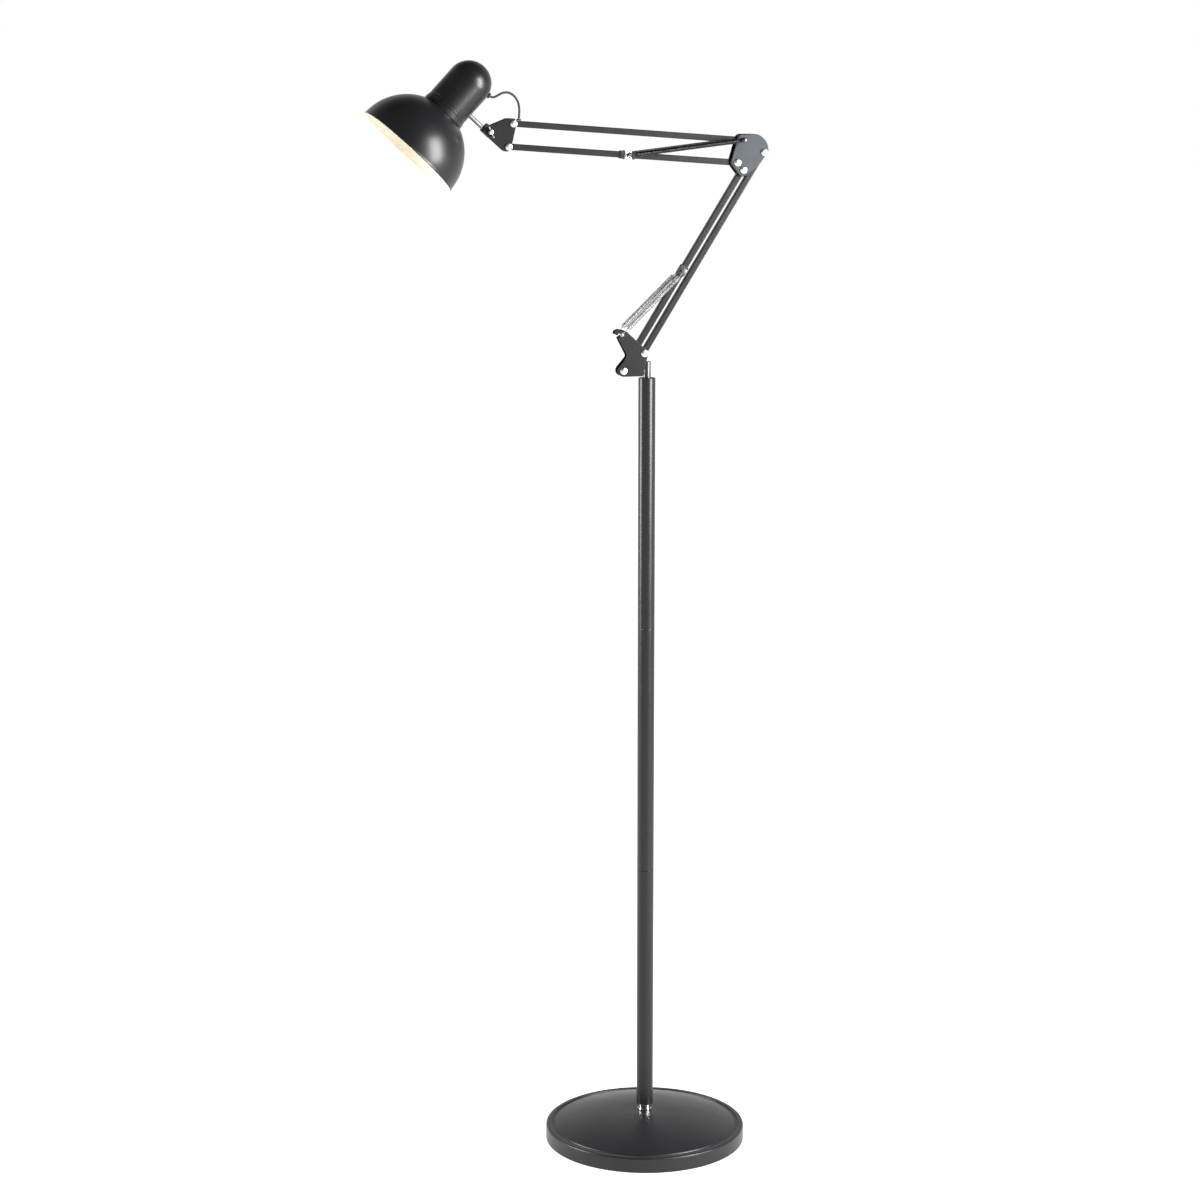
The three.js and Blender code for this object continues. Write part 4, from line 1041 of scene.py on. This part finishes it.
# ---------------- studio
# A pale seamless floor and white paper behind the lamp, with the room dark on the near side.
# Two tall soft boxes give the long highlights on the pole and the round ones on the head.
floor_finish = Finish("seamless_floor", IOR=1.4, Emission_Color=(1, 1, 1), Emission_Strength=1.0)
wear = floor_finish.noise(0.6, 2)
floor_finish.set("Base Color", floor_finish.blend(wear, (0.3, 0.3, 0.3), (0.34, 0.34, 0.34)))
floor_finish.set("Roughness", 0.9 + floor_finish.noise(3, 2) * 0.05)
floor = piece("studio_floor", [(-30, -30, 0), (30, -30, 0), (30, 30, 0), (-30, 30, 0)], [(0, 1, 2, 3)],
              floor_finish.material)

world = bpy.data.worlds.new("studio")
bpy.context.scene.world = world
world.use_nodes = True
surround = Graph(world.node_tree)
way = surround.node("ShaderNodeTexCoord", out="Generated")
rise = surround.node("ShaderNodeSeparateXYZ", {0: way}, "Z")
ahead = surround.node("ShaderNodeVectorMath", {0: way, 1: (0.242, 0.970, 0)}, "Value",
                      operation="DOT_PRODUCT")
steep = surround.math("ABSOLUTE", rise)
paper = surround.smooth_step(ahead, 0.1, 0.8) * surround.smooth_step(steep, 0.95, 0.3)
room = world.node_tree.nodes["Background"]
surround.feed(room.inputs["Color"], (1, 1, 1))
surround.feed(room.inputs["Strength"], paper * 0.8 + 0.03)
plain = surround.node("ShaderNodeBackground", {"Color": (1, 1, 1), "Strength": 1.0})
seen = surround.node("ShaderNodeLightPath", out="Is Camera Ray")
shown = surround.node("ShaderNodeMixShader", {0: seen, 1: Signal(surround, room.outputs[0]), 2: plain})
surround.feed(world.node_tree.nodes["World Output"].inputs["Surface"], shown)


def soft_box(name, place, target, width, height, power):
    lamp = bpy.data.lights.new(name, "AREA")
    lamp.shape = "RECTANGLE"
    lamp.size = width
    lamp.size_y = height
    lamp.energy = power
    made = in_scene(name, lamp)
    made.location = place
    made.rotation_euler = (Vector(target) - Vector(place)).to_track_quat("-Z", "Y").to_euler()


soft_box("right_box", (1.85, -1.85, 1.65), (0, 0, 1.5), 1.2, 2.0, 270)
soft_box("left_box", (-2.6, 0.45, 1.5), (0, 0, 1.5), 0.9, 2.1, 130)

scene = bpy.context.scene
scene.view_settings.view_transform = "Standard"

# ---------------- camera
# A long lens at head height, looking slightly down.
lens = bpy.data.cameras.new("camera")
lens.lens = 84
lens.sensor_width = 36
lens.clip_end = 100
camera = in_scene("camera", lens)
camera.location = (-0.9798, -3.9297, 1.590)
camera.rotation_euler = Vector((0.22175, 0.95759, -0.18395)).to_track_quat("-Z", "Y").to_euler()
scene.camera = camera
